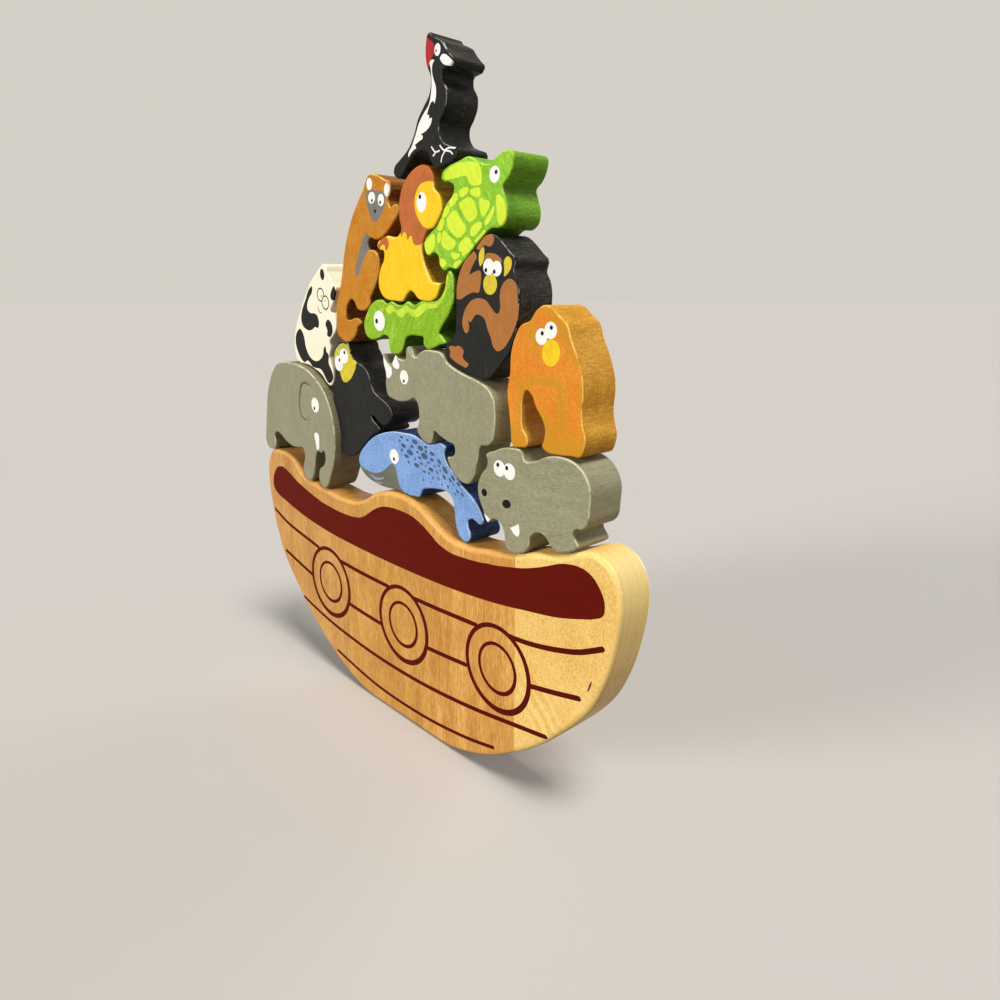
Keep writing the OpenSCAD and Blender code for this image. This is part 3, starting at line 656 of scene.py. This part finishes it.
# Elephant
GREY = dict(dark=(126, 122, 97), light=(176, 172, 143), cloud=0.3, worn=(208, 203, 172), worn_width=0.5,
            worn_gaps=-0.05)
GREY_SIDE = dict(dark=(122, 116, 90), light=(166, 160, 132), worn=(196, 190, 158), grain=0.9, speckle=0.8,
                 cloud=0.4)
EAR = [(-82, 170), (-85, 171), (-88, 170.5), (-90.5, 169), (-91.8, 166.5), (-93.2, 162.8), (-94, 159),
       (-94, 155), (-93, 152.3), (-91, 150.6), (-88, 150)]
p = animal("elephant", (-140.283, -57.47, 113.397, 181.189), groove=(EAR, 2, 0.9),
           snug=[(-130.5, 129, 7, (0.1, -0.66))])
# Painted shade: a darker stroke along the carved ear groove
p.mark("elephant_groove", stroke(EAR, 0.9))
p.eye(-76, 159.7, 4, 4.1, -77, 157.8, 0.95)
p.patch(WHITE, [
    (-78.8, 143.5), (-76.4, 144.3), (-74.5, 143.5), (-74.3, 139), (-75, 135.3), (-76.2, 134.4),
    (-77, 134.8), (-78, 138)])
# The colour of the painted shade in the ear groove
enamel("elephant_groove", (118, 113, 90))
p.build(
    paint("elephant_grey", (149, 145, 120), grain=0.4, speckle=0.7, **GREY),
    flank("elephant", (130, 124, 98), **GREY_SIDE))

# Whale
p = animal("whale", (-34.5, 63.5, 110.997, 155.164))
p.patch("whale_jaw", [
    (-36, 134.6), (-32, 132.4), (-29, 131.5), (-24, 131), (-18, 131.3), (-12, 133.5), (-8, 136),
    (-4, 138.3), (-2, 137.8), (-0.5, 135), (0.5, 131), (2, 128), (4.5, 126), (6, 122, 1), (-38, 122, 1)])
p.mark("whale_smile", stroke([(-23.5, 129.4), (-20, 128.3), (-16, 128.5), (-12, 129.8)], (0.5, 1, 0.5)))
p.mark("whale_smile", stroke([(-19.5, 126.8), (-16.5, 126.2), (-13.5, 127)], (0.4, 0.7, 0.4)))
p.eye(-2, 142.3, 3.75, 3.7, -2.2, 141, 0.9)
SPOTS = [
    (4.9, 152.8, 1, .5), (9.6, 152, .8, .5), (15.3, 152, 1.8, .9), (3.1, 150.8, .8, .4),
    (6.2, 148.9, 1.7, .8), (13, 149.5, 1.1, .6), (19.6, 149.6, 1.8, .9), (23.7, 150.6, 1, .5),
    (23.7, 148.7, .7, .6), (28.4, 148.3, 1.6, .7), (11.2, 148.3, .5, .4), (17.3, 147.3, 1, .4),
    (11.2, 146.3, 2.1, 1), (4.8, 146.5, .9, .5), (22.5, 146.3, 2, 1.1), (18.8, 144.9, 1.1, .5),
    (28.2, 145.4, 1.2, .6), (33.6, 145.4, 1.4, .7), (8.4, 144.1, 1.6, .7), (15.1, 143.8, .6, .6),
    (25.5, 143.7, .9, .4), (30.1, 142.7, .6, .4), (33.3, 143.4, .7, .5), (37.7, 142.2, 1.8, .9),
    (20.2, 142.3, .9, .4), (23.4, 141.8, .6, .3), (10, 141.4, .8, .5), (16.3, 140.9, 1.7, .8),
    (27.3, 140.7, 1.6, .7), (32, 140.1, .8, .4), (34.2, 141.4, .5, .4), (22.1, 138.8, 1, .4),
    (25.8, 138.7, .6, .4), (37, 138.8, 1.2, .6), (41.3, 138.1, 1, .5), (43.2, 139.5, 1.3, .6),
    (43.4, 136.6, .7, .4), (46.9, 137.3, 1, .5), (32.7, 137.3, .9, .4), (28.6, 136.8, .5, .4),
    (21.3, 134.6, .7, .3), (26.8, 134.4, .5, .3), (35.2, 135, .6, .3), (39.5, 134.8, .8, .4),
    (46.3, 133.8, .9, .5), (49.7, 133, .9, .5), (44.8, 132.3, .6, .4)]
TAIL_X, BACK_TURN, TAIL_TURN, WIDER, TALLER = 32, -8, -38, 1.25, 1.35
for x, z, rx, rz in SPOTS:
    turn = BACK_TURN if x < TAIL_X else TAIL_TURN
    p.mark("whale_spots", oval(x, z, rx * WIDER, rz * TALLER, turn, 10))
enamel("whale_jaw", (108, 110, 96))
enamel("whale_spots", (76, 94, 122))
enamel("whale_smile", (150, 168, 188))
p.build(
    paint("whale_blue", (128, 164, 218), (104, 138, 192), (154, 188, 240), grain=0.8, speckle=2,
          worn=(206, 224, 250), worn_gaps=-0.05),
    flank("whale", (50, 68, 122), (30, 42, 84), (84, 110, 172), speckle=1, worn=(130, 160, 222)))

# Hippopotamus
p = animal("hippopotamus", (59, 122.869, 113.134, 158.5))
p.eye(73.2, 148.4, 3.45, 3.5, 72.3, 149.8, 0.95)
p.eye(79.2, 148, 3.5, 3.5, 77.7, 149.3, 0.95)
p.mark(BLACK, oval(63.7, 136.2, 1.8, 1.7))
p.mark(BLACK, oval(77.6, 133.9, 2.6, 1.9, 12))
p.patch(WHITE, [(79.8, 124, 1), (84.9, 126.8, 1), (85.4, 122.7), (84.3, 121.2), (83, 121.4)])
p.patch(WHITE, [(61, 128.2, 1), (67.5, 124.9, 1), (65.3, 122.9), (63.8, 122), (61, 123)])
p.build(
    paint("hippopotamus_grey", (151, 148, 119), turn=90, grain=0.9, length=2.2, speckle=0.7, **GREY),
    flank("hippopotamus", (154, 149, 121), **GREY_SIDE))

# Gorilla
BLACKS = dict(dark=(18, 18, 16), light=(46, 45, 41), grain=0.8, speckle=1.2, worn=(156, 153, 145),
              worn_width=0.28, worn_gaps=-0.03)
BLACK_SIDE = dict(dark=(28, 27, 24), light=(74, 71, 64), speckle=1.3, flecks=(104, 101, 92),
                  worn=(140, 136, 126), worn_width=0.25, worn_gaps=0.04, rough=0.48)
p = animal("gorilla", (-57.108, -3, 136, 196))
p.patch("gorilla_brow", [
    (-53.4, 186), (-52.9, 188.9), (-51.7, 191), (-49.7, 192.9), (-46.7, 194.3), (-43.1, 194.8),
    (-41, 194.3), (-40, 195.2), (-38.6, 194.5), (-38.3, 191.2), (-38.3, 188), (-43, 185), (-49, 182)])
p.patch("paint_yellow", [
    (-42, 187), (-39.3, 189), (-38.2, 189.9), (-35.7, 187.2), (-33, 185.8), (-33.1, 184), (-35.1, 180.9),
    (-37.6, 178.1), (-41.1, 175.9), (-43.4, 175.1), (-45.9, 175.5), (-47.5, 177.5), (-48.4, 180.2),
    (-46.5, 184)])
p.mark(WHITE, oval(-43.9, 188.4, 4.1, 3.7))
p.mark(WHITE, oval(-49.3, 184.4, 4, 4))
p.mark(BLACK, oval(-48.5, 186.1, 0.85, n=12))
p.mark(BLACK, oval(-43.3, 190.2, 0.9, n=12))
enamel("gorilla_brow", (200, 198, 88))
# Painted light: the gorilla's sides are painted paler than the other black sides, to match the light on them
p.build(paint("gorilla_black", (29, 29, 26), **BLACKS), flank("gorilla", (56, 54, 48), **BLACK_SIDE))

# Rhinoceros
p = animal("rhinoceros", (-8.5, 71.04, 137.951, 195.5))
p.patch(WHITE, [
    (-9.4, 192.5, 1), (-7, 188.5), (-4, 186), (-1.5, 185), (-1, 183), (-2.5, 180.5), (-4.5, 179.7),
    (-8.5, 181.5), (-10, 186.5)])
p.patch(WHITE, [
    (-0.3, 187), (0.5, 189), (1.6, 190.8), (3.3, 189), (5.2, 186.5), (4.8, 185.2), (2, 184.8), (0, 185.7)])
p.eye(8.6, 181.2, 3.25, 3.3, 8.3, 179.4, 0.8)
p.mark("rhinoceros_line", stroke([(12.6, 194.5), (14.3, 192), (17, 190.6), (19.6, 190.8)], 0.55))
enamel("rhinoceros_line", (198, 193, 162))
p.build(
    paint("rhinoceros_grey", (152, 148, 120), grain=0.4, speckle=0.8, **GREY),
    # Painted light: the side is painted paler than the face, to lift the shade that falls on it
    flank("rhinoceros", (166, 159, 126), **GREY_SIDE))

# Orangutan
p = animal("orangutan", (77.5, 119.076, 158.154, 213.629))
p.mark(WHITE, oval(96.3, 202.2, 3.05))
p.mark(WHITE, oval(101, 204.6, 3.15))
p.mark(BLACK, oval(96.7, 203.4, 0.85, n=12))
p.mark(BLACK, oval(101.3, 205.6, 0.85, n=12))
p.mark("paint_gold", oval(101.3, 196.4, 5, 4.5, 70))
SPRAYED = [
    ((98, 213), (105, 210), 4), ((105, 210), (109.5, 203), 6.5), ((109.5, 203), (114, 194), 4.5),
    ((117, 186), (118.5, 166), 3.2), ((90.5, 204.5), (93.5, 198.5), 4.6), ((84.6, 181.5), (92, 186), 3.4),
    ((92, 186), (104, 185.3), 3), ((106.4, 183), (107.6, 168), 4.2), ((86.4, 180), (86.4, 165), 3.6),
    ((81.5, 161), (87, 160), 10), ((98, 171), (102, 165), 6), ((102, 161), (117.5, 160), 12)]
SPRAYED = [(p.fitted(a), p.fitted(b), reach) for a, b, reach in SPRAYED]
p.build(
    paint("orangutan_orange", (227, 138, 40), (210, 121, 30), (240, 158, 56), grain=0.5, speckle=1.4,
          second=(203, 145, 30), sprayed=SPRAYED, worn=(250, 200, 110), worn_gaps=-0.05),
    flank("orangutan", (211, 150, 42), (180, 122, 28), (240, 186, 76), grain=0.9, speckle=1.2,
          worn=(250, 200, 110)))

# Chimpanzee
p = animal("chimpanzee", (39, 84.529, 184.75, 240.617))
BROWN = "chimpanzee_brown"
enamel(BROWN, (175, 113, 58), 0.5, 0.05)
p.patch(BROWN, [
    (60.5, 235.5), (63, 238.5), (66, 240.2), (69, 240.2), (70.5, 239.3), (70, 237), (68.5, 236),
    (64.5, 236.5), (62, 235)])
p.patch(BROWN, [
    (58, 234.8), (60.5, 232.5), (58.5, 230), (57, 228), (56, 226), (59, 226.8), (62.5, 227), (63, 225),
    (62.5, 222), (61.5, 219), (58, 219), (54, 217.8), (49, 216.2), (46.8, 216.8), (47, 220), (48.5, 224.5),
    (51, 229), (54, 232.5)])
p.patch(BROWN, [(65, 231.5), (66, 233.3), (69, 233.5), (73, 232.3), (75, 230.3), (74.5, 229.5), (70, 229)])
p.patch(BROWN, [
    (78, 223.7), (80.5, 223.7), (83, 221.5), (83.7, 217), (83.7, 210), (82, 205.5), (79, 201),
    (75.5, 197.5), (72, 196.5), (70, 198), (68.5, 201.5), (66.5, 205), (65, 208.5), (62, 210.2),
    (60, 210.4), (58, 209), (56, 207.3), (55, 208), (55.3, 205.5), (54.8, 203.5), (53.3, 202.8),
    (51.7, 204.5), (51, 207), (52, 210.5), (54, 213.5), (57.5, 216), (62, 216.7), (66, 215.7), (69, 213),
    (71.5, 211), (73, 211), (74, 213), (73.7, 217), (74.5, 220.5), (76, 222.5)])
p.patch(BROWN, [
    (42, 196.5), (43.5, 197.3), (46, 197), (48.5, 197.5), (50.5, 196.7), (51.7, 195.5), (51, 193),
    (52.5, 191.5), (54.7, 190.3), (53.5, 188.9), (50, 189.5), (45, 191.3), (42.5, 193), (42.8, 195)])
p.patch("paint_yellow", [(61.7, 231), (62, 234), (64.5, 236), (65, 233.5), (63.5, 229.5), (62.5, 228.8)])
p.patch("paint_yellow", [
    (76.2, 230.5), (78, 232), (80, 231), (80.3, 228.5), (78.5, 226), (76.2, 224.8), (76.3, 227)])
p.mark("paint_yellow", oval(68.2, 222, 4, 4))
p.mark(WHITE, oval(67.3, 228.5, 3.1))
p.mark(WHITE, oval(72, 227.7, 2.9))
p.mark(BLACK, oval(65.8, 227.3, 0.85, n=12))
p.mark(BLACK, oval(70.6, 226.6, 0.85, n=12))
p.build(paint("chimpanzee_black", (29, 29, 26), **BLACKS), flank("chimpanzee", (34, 33, 30), **BLACK_SIDE))

# Iguana
p = animal("iguana", (-23.5, 45.645, 190.975, 227.5),
          snug=[(39.4, 199, 4, (0.4, -0.7)), (29, 197, 7, (0, -0.65))])
p.patch("iguana_band", [
    (-3.9, 211.2), (-3.4, 210.1), (-2.2, 209.5), (-0.6, 209.3), (0.9, 209.8), (2.7, 210.4), (4.8, 209.1),
    (7.1, 208), (8.8, 207.9), (10.6, 209), (12.3, 210), (13.5, 210.2), (15.2, 209.3), (17.3, 208.4),
    (19.9, 208.2), (22.2, 208.9), (24.7, 210.1), (27.7, 211.7), (29.8, 212.1), (32.3, 212.3), (34.5, 212.6),
    (36.2, 213.8), (38, 215.3), (39.5, 217.1), (40.9, 219.3), (42, 222.5), (42.5, 225.8), (41.8, 226.2),
    (41.4, 223.5), (40.3, 220.3), (39.3, 218.7), (38, 216.9), (36.1, 215.4), (34.1, 214.4), (31.6, 214),
    (28.1, 214.2), (24.9, 214.2), (22.7, 213.7), (21.2, 212.6), (19.3, 211.5), (17.5, 211.5), (15.6, 211.8),
    (13.8, 212.7), (12, 213.2), (10, 212.6), (8, 211.7), (6.1, 211.3), (4.5, 211.4), (3, 212.2), (1.9, 213),
    (0.3, 213.5), (-1.3, 213.2), (-2.8, 212.3)], 2)
p.eye(-9.8, 206, 4.6, 4.7, -12, 205.8, 1.2)
enamel("iguana_band", (198, 226, 66))
p.build(
    paint("iguana_green", (132, 180, 25), (104, 156, 18), (178, 218, 74), turn=-40, grain=1, length=3,
          speckle=1, weave=0.5, worn=(196, 226, 120)),
    flank("iguana", (78, 122, 28), (48, 88, 16), (106, 154, 40), speckle=1, worn=(160, 206, 84)))

# Lion
p = animal("lion", (-9.5, 38.714, 215.71, 270.5),
          snug=[(27, 217, 9, (0, -0.28)), (8, 217, 8, (0, -0.4))])
p.patch("lion_mane", [
    (0, 262, 1), (9, 246.3, 1), (10.5, 243, 1), (12, 245, 1), (13.5, 244.8), (15, 241.5, 1), (17, 243.2),
    (18, 243, 1), (18.5, 240.5, 1), (20, 239.4), (24, 239.2, 1), (30, 243, 1), (31, 248, 1), (46, 252, 1),
    (46, 276, 1), (0, 276, 1)])
p.patch("lion_yellow", [
    (45, 264, 1), (33.5, 263.3), (29, 263.7), (24.5, 262.7), (21.5, 259.5), (20.5, 255.5), (21.5, 252),
    (24, 248.5), (26.5, 246.3), (29, 245.6, 1), (30, 240, 1), (45, 240, 1)])
p.patch("lion_mane", [
    (-10, 240, 1), (-6.5, 241.5), (-5, 243.4), (-1, 243.6), (0.8, 241), (0, 239), (-2, 238), (-2.5, 240),
    (-4.5, 240.6), (-8, 238)])
p.eye(25.5, 256, 3.4, 4, 24.5, 258.2, 0.95, -10)
enamel("lion_mane", (193, 107, 55))
p.build(
    paint("lion_yellow", (250, 204, 30), (240, 186, 16), (255, 220, 66), grain=0.8, speckle=1.2,
          worn=(255, 232, 140)),
    flank("lion", (196, 140, 32), (150, 92, 20), (226, 172, 54), speckle=1, worn=(236, 190, 90)))

# Lemur
p = animal("lemur", (-49.069, 8.639, 196.5, 272.287))
p.mark(WHITE, oval(-13.3, 268, 2.3, 2.6))
p.mark(WHITE, oval(0.3, 264.3, 2.1, 2.8))
p.patch("lemur_grey", [
    (-16, 264.5), (-13, 265.5), (-9, 265), (-4, 264), (-1.5, 262.5), (-1, 259.5), (-3, 256.5), (-6, 253.5),
    (-9, 251.7), (-11.5, 251.8), (-13.5, 254), (-15, 257.5), (-16.5, 261.5)])
p.patch("lemur_grey", [
    (-17.1, 247.1), (-14.8, 244.3), (-15.2, 240.1), (-18.3, 238.4), (-21, 236), (-23.1, 232.9), (-26, 229),
    (-28.2, 228.2), (-28.2, 231.8), (-26.4, 235.9), (-24.1, 239.7), (-21.8, 243.1), (-19.9, 245.8)])
p.eye(-11.9, 262.1, 2.8, 2.5, -11.7, 260.9, 0.75)
p.eye(-4.6, 260.5, 2.5, 2.6, -5.2, 259.6, 0.75)
p.mark(BLACK, oval(-9.5, 256.2, 1, 0.7, n=12))
enamel("lemur_grey", (126, 122, 117))
p.build(
    paint("lemur_orange", (197, 129, 35), (172, 105, 22), (218, 152, 56), grain=0.7, speckle=0.9,
          worn=(240, 196, 120)),
    flank("lemur", (138, 86, 28), (96, 56, 16), (176, 118, 46), speckle=1, worn=(210, 156, 80)))

# Panda
p = animal("panda", (-95.185, -47.413, 172.5, 234.5))
INK = "panda_black"
enamel(INK, (25, 24, 21))
p.mark(INK, oval(-59.8, 229.3, 2.1, 2.8, 10))
p.patch(INK, [
    (-53, 218.2), (-52.2, 220.6), (-50.4, 222.6), (-48.8, 223.6), (-48, 222), (-48.6, 218.6), (-50, 216.6),
    (-51.8, 216.6)])
p.patch(INK, [
    (-71, 223.5), (-73, 223), (-79, 216.5), (-84, 210), (-85, 206), (-84, 203.5), (-80, 201.2),
    (-76.5, 200.7), (-73, 201.5), (-70.5, 202.7), (-67.5, 202.3), (-66.2, 204), (-66.3, 206.5), (-68, 209),
    (-71, 209.8), (-75, 210), (-77.5, 212), (-77, 215), (-75, 217.5), (-71, 221.5)])
p.patch(INK, [
    (-59.5, 204), (-58.5, 206), (-56.5, 206.8), (-54, 205.5), (-52.7, 203), (-53.2, 199.8), (-56, 198),
    (-58.5, 199), (-58, 201), (-58.5, 202.5)])
p.patch(INK, [
    (-87, 201.3), (-84.5, 199.5), (-83, 196.5), (-82, 192), (-80, 188.5), (-77, 186), (-72, 184.7),
    (-67, 186), (-64, 188.5), (-62.3, 192.5), (-61, 193), (-60.3, 190.5), (-58.5, 189), (-58.5, 184),
    (-57, 182), (-55.5, 180), (-55, 177), (-57, 174.5), (-60, 174), (-62.5, 176), (-65, 179), (-67, 180.5),
    (-72, 181), (-76, 181.5), (-78.5, 183.5), (-81, 184.5), (-84.5, 183.3), (-88, 185), (-91, 188.5),
    (-93, 193), (-92.5, 197), (-90, 200)])
for x, z, radius in ((-62.8, 219.3, 3.3), (-58.3, 215.3, 3.4)):
    p.mark(INK, oval(x, z, radius + 0.3))
    p.mark("bare", oval(x, z, radius - 0.4))
p.mark(INK, oval(-62, 218.6, 0.45, n=8))
p.mark(INK, oval(-58.6, 216.2, 0.45, n=8))
p.mark(INK, stroke([(-66, 213), (-65.7, 211.4), (-64.6, 210.4), (-63, 210)], 0.5))
p.build(
    paint("panda_cream", (252, 244, 219), (244, 232, 202), (255, 250, 232), grain=0.5, speckle=0.7),
    flank("panda", (250, 239, 206), (234, 216, 172), (255, 250, 226), grain=1.6, speckle=1))

# Turtle
p = animal("turtle", (25.713, 80.714, 228, 269),
          snug=[(54, 232, 5, (0.2, -0.4)), (40, 230, 9, (0, -0.75))])
LIME = "turtle_lime"
PLATES = [
    [(40.6, 263.3), (41, 264.4), (43.1, 265.7), (46.3, 266.7), (49.9, 267.1), (54.4, 267), (58.4, 266.5),
     (61.1, 265.5), (62.3, 263.9), (62.7, 261.8), (62.7, 259.4), (61.9, 258.4), (60, 258.3), (57.8, 258.6),
     (56, 259.3), (55.3, 260.5), (54.8, 261.6), (53.6, 262.4), (51.3, 262.5), (48.2, 262.2), (45.1, 262.1),
     (42.5, 262.1), (41.1, 262.5)],
    [(49.9, 256.1), (49.6, 257), (51.2, 257.8), (53.5, 258.1), (55, 257.6), (54.9, 256.6), (53.5, 255.6),
     (51.4, 255), (50, 255.3)],
    [(56, 256.5), (57.8, 257.2), (60.2, 257.3), (61.7, 257), (62.1, 255.9), (61.9, 254.7), (60.4, 254.2),
     (58.7, 254.5), (56.7, 255.5)],
    [(43.2, 252.8), (43.9, 254.1), (45.3, 255.6), (47, 256.5), (48.5, 256.4), (48.9, 255.6), (48.4, 254.4),
     (46.9, 253.1), (45.1, 252), (43.8, 251.9)],
    [(39.1, 249.4), (39.9, 251), (41.3, 252), (42.6, 252.3), (43.5, 251.5), (43.3, 250.2), (41.8, 249.1),
     (40.1, 248.2), (39.2, 248.4)],
    [(35.9, 244.8), (37.1, 246.7), (38.8, 247.9), (39.9, 247.6), (40.1, 246.5), (39.2, 244.9),
     (37.9, 243.6), (36.4, 243.5), (35.7, 244.2)],
    [(35.8, 242.2), (36.9, 242.8), (37.7, 242.4), (37.7, 240.8), (36.9, 239.2), (35.7, 238.8),
     (35.3, 239.9)],
    [(49.5, 252.6), (52.4, 253.7), (55, 254.4), (57.2, 253.6), (58.7, 252.3), (59.4, 250.4), (60.1, 247.9),
     (59.6, 247.2), (57.6, 246.2), (55.8, 245.6), (54.3, 246.3), (52.5, 248.1), (50.8, 250.5)],
    [(41.7, 246.1), (41.7, 247.3), (43.4, 248.8), (45.5, 250.1), (47.1, 250.3), (48.3, 249.4),
     (49.7, 247.6), (51.5, 245.7), (53.1, 244.1), (53, 242.3), (51.4, 241.2), (48.7, 240.1), (46.9, 240.8),
     (44.5, 242.5), (42.2, 244.4)],
    [(39.1, 243), (40.5, 243), (42.1, 241.7), (44.5, 240.1), (46.7, 239), (47.1, 238.2), (46.3, 237),
     (44.1, 236), (41.1, 236.2), (38.7, 237.5), (38, 238.8), (38.5, 241.1)],
    [(61.7, 253.4), (62.9, 253.4), (64.5, 252.5), (66.9, 252), (67.2, 251), (66.4, 249.4), (65, 248),
     (63.6, 247), (62.5, 247.9), (61.8, 249.6), (61.5, 251.7)],
    [(69.4, 250.2), (69.7, 249), (69, 247.3), (67.6, 245.6), (65.7, 244), (64.7, 243.8), (64.4, 244.4),
     (65.4, 246), (67.4, 248), (68.6, 249.4)],
    [(71.2, 253.6), (72.1, 253.9), (73.5, 253.1), (74.8, 251.5), (75.6, 249.4), (76, 247), (75.7, 244.7),
     (74.9, 242.8), (73.7, 242.8), (72.3, 244), (71.4, 246.5), (71.2, 249.5), (70.9, 251.9)],
    [(56.3, 242.9), (57, 243.7), (59, 244.6), (61.3, 245.2), (62.5, 244.7), (62.5, 243.5), (61.2, 242.2),
     (59.5, 241), (57.5, 240.2), (56.2, 240.8), (55.9, 241.7)],
    [(59, 238.7), (60.5, 239.7), (62.5, 241), (64.4, 242.1), (64.9, 242), (63.9, 240.9), (62, 239.5),
     (60, 238.4), (58.9, 238), (58.5, 238.1)],
    [(49.2, 237.6), (51.3, 239), (53.7, 240), (55.2, 239.4), (56.4, 238.4), (56.2, 237.5), (54.4, 236.3),
     (52.3, 235.1), (50.4, 234.9), (49, 235.4), (48.9, 236.5)],
    [(57.4, 237.4), (57.7, 236.9), (55.9, 235.4), (53.3, 234), (50.9, 233.4), (50.8, 234.1), (52.3, 234.8),
     (54.9, 236.1)],
    [(43.8, 234.3), (45.7, 234.6), (47.5, 234.2), (49.6, 233.9), (49.3, 233.3), (47.5, 232.6),
     (46.1, 232.1), (45.1, 232.7), (44.3, 233.7)],
    [(25.5, 238), (29, 240.5), (33.3, 242.5), (33.7, 238.5), (32, 236), (28, 234.5), (26, 235.5)],
    [(37, 232.5), (38.7, 232.5), (41, 230.7), (38.5, 229.3), (37, 230.3)],
    [(45, 229.5), (49, 231.5), (50.5, 231.2), (49, 229.5), (46, 228.7)]]
for plate in PLATES:
    p.patch(LIME, plate, 2, 0.15)
p.eye(70, 261, 2.85, 2.9, 70.8, 261.7, 0.8)
paint(LIME, (218, 241, 62), (200, 228, 48), (234, 252, 92), turn=30, grain=1, speckle=0.8)
p.build(
    paint("turtle_green", (142, 198, 48), (112, 174, 32), (180, 226, 82), turn=30, grain=1.2, speckle=1,
          worn=(176, 222, 100)),
    flank("turtle", (116, 170, 42), (84, 136, 26), (150, 202, 66), speckle=1.3, grain=1,
          worn=(160, 206, 90)))

# Woodpecker
p = animal("woodpecker", (5.5, 49, 265.299, 316.05))
enamel("woodpecker_red", (176, 40, 42))
p.patch("woodpecker_red", [
    (31.5, 314.6, 1), (33.4, 313.2), (36, 311), (36.2, 309.4), (35.6, 308), (34.4, 306.6), (33.4, 305),
    (31.8, 303.4, 1), (28, 306, 1), (28, 314, 1)])
p.patch(WHITE, [
    (39.6, 305.6), (41, 306.6), (42.8, 306.3), (44.9, 305), (46.6, 303.6), (47.4, 302.5), (46.6, 301.8),
    (43.9, 302.2), (40.9, 303.6)])
p.patch(WHITE, [
    (33.1, 305.5), (34.5, 306), (35.9, 305.6), (34.7, 304.2), (34.4, 302), (35.2, 299.1), (36.6, 296),
    (36.5, 292.5), (35.6, 290.2, 1), (34.6, 291.3), (33.4, 291), (31.6, 289), (30.5, 287, 1), (31.7, 286.7),
    (32, 285.3), (33.5, 285.5), (33, 283.5), (31, 281.8), (26, 280.3, 1), (27.3, 279.5), (27.2, 278.8),
    (25, 278), (21.7, 276.9, 1), (22.7, 275.8), (20.5, 275), (18.6, 273.9), (17.2, 272.9), (17, 273.6),
    (19.6, 276.6), (22.5, 280.6), (25, 284.6), (28.4, 287.8), (31.8, 290.4), (33.4, 294), (34, 299),
    (33.6, 303)])
# Two short pale strokes, by the eye and on the throat
p.mark("scuff", stroke([(41.4, 310.9), (42, 309.6), (43.2, 308.2)], (0.5, 0.3, 0.4)))
p.mark("scuff", stroke([(41.2, 297), (42.6, 294.8), (44, 292.9)], (0.25, 0.35, 0.2)))
p.eye(38.1, 308.8, 1.9, 2.2, 37.3, 308.6, 0.5)
for line in ([(33, 274.7), (35.5, 272.5), (38, 272.7)], [(35.5, 272.5), (34.9, 271.9), (34, 271.3)],
             [(38.5, 274.5), (41, 272.5), (44, 273), (47.5, 272.5)],
             [(41.5, 272), (39.5, 270), (39, 268.5)], [(42, 272.2), (45, 271.5), (46.3, 270.5)]):
    p.mark(WHITE, stroke(line, 0.65, 3))
p.build(
    paint("woodpecker_black", (19, 19, 16), **BLACKS),
    flank("woodpecker", (36, 35, 32), **{**BLACK_SIDE, "flecks": None, "speckle": 0.8}))


# Stage, light and camera
def sun(name, way, strength, colour, spread):
    """A broad soft lamp that shines from a way."""
    data = bpy.data.lights.new(name, "SUN")
    data.energy, data.color, data.angle = strength, colour, math.radians(spread)
    made = placed(name, data)
    made.rotation_mode = "QUATERNION"
    made.rotation_quaternion = Vector(way).to_track_quat("Z", "Y")


FLOOR_HALF = 30  # metres
FLOOR_LIT, FLOOR_TONES = (120, 114, 104), ((193, 189, 184), (194, 190, 185), (195, 191, 186))
t = material("floor_pale")
cloud = t.noise(t.place(), 160, 1, 2)
shown = t.tones(t.total(0.5, cloud), *FLOOR_TONES)
corners = [(x * FLOOR_HALF, y * FLOOR_HALF, 0) for x, y in ((-1, -1), (1, -1), (1, 1), (-1, 1))]
sheet = bpy.data.meshes.new("floor")
sheet.from_pydata(corners, [], [(0, 1, 2, 3)])
sheet.materials.append(t.finish(t.mix(t.seen(), srgb(*FLOOR_LIT), shown), 0.9, cloud, 0, 0))
placed("floor", sheet)

sun("key", (-0.30, -0.92, 0.25), 2.6, (1, 0.99, 0.97), 20)
sun("side", (0.42, -0.10, 0.90), 2.7, (1, 0.985, 0.95), 20)
sun("rear", (0.05, 0.99, 0.12), 2.1, (1, 0.99, 0.97), 30)

bpy.context.scene.world = bpy.data.worlds.new("studio")
t = Tree(bpy.context.scene.world)
glow = t.node("ShaderNodeBackground", {"Color": (1, 0.99, 0.97, 1), "Strength": 0.18}).outputs[0]
backdrop = t.node("ShaderNodeBackground", {"Color": srgb(213, 208, 199), "Strength": 1}).outputs[0]
t.node("ShaderNodeOutputWorld",
       {0: t.node("ShaderNodeMixShader", {0: t.seen(), 1: glow, 2: backdrop}).outputs[0]})

# The camera's right, up and back ways, as solved from the photograph
CAMERA_WAYS = [(0.6802, 0.7331, -0.0005), (-0.1940, 0.1806, 0.9643), (0.7070, -0.6557, 0.2651)]
camera = placed("camera", bpy.data.cameras.new("camera"))
camera.data.sensor_width, camera.data.lens = 36, 26.71
camera.data.clip_start, camera.data.clip_end = 0.01, 100
camera.location = (0.2942, -0.2125, 0.2189)
u, _, v = np.linalg.svd(np.array(CAMERA_WAYS).T)
camera.rotation_mode = "QUATERNION"
camera.rotation_quaternion = Matrix((u @ v).tolist()).to_quaternion()
bpy.context.scene.camera = camera
bpy.context.scene.view_settings.view_transform = "Standard"
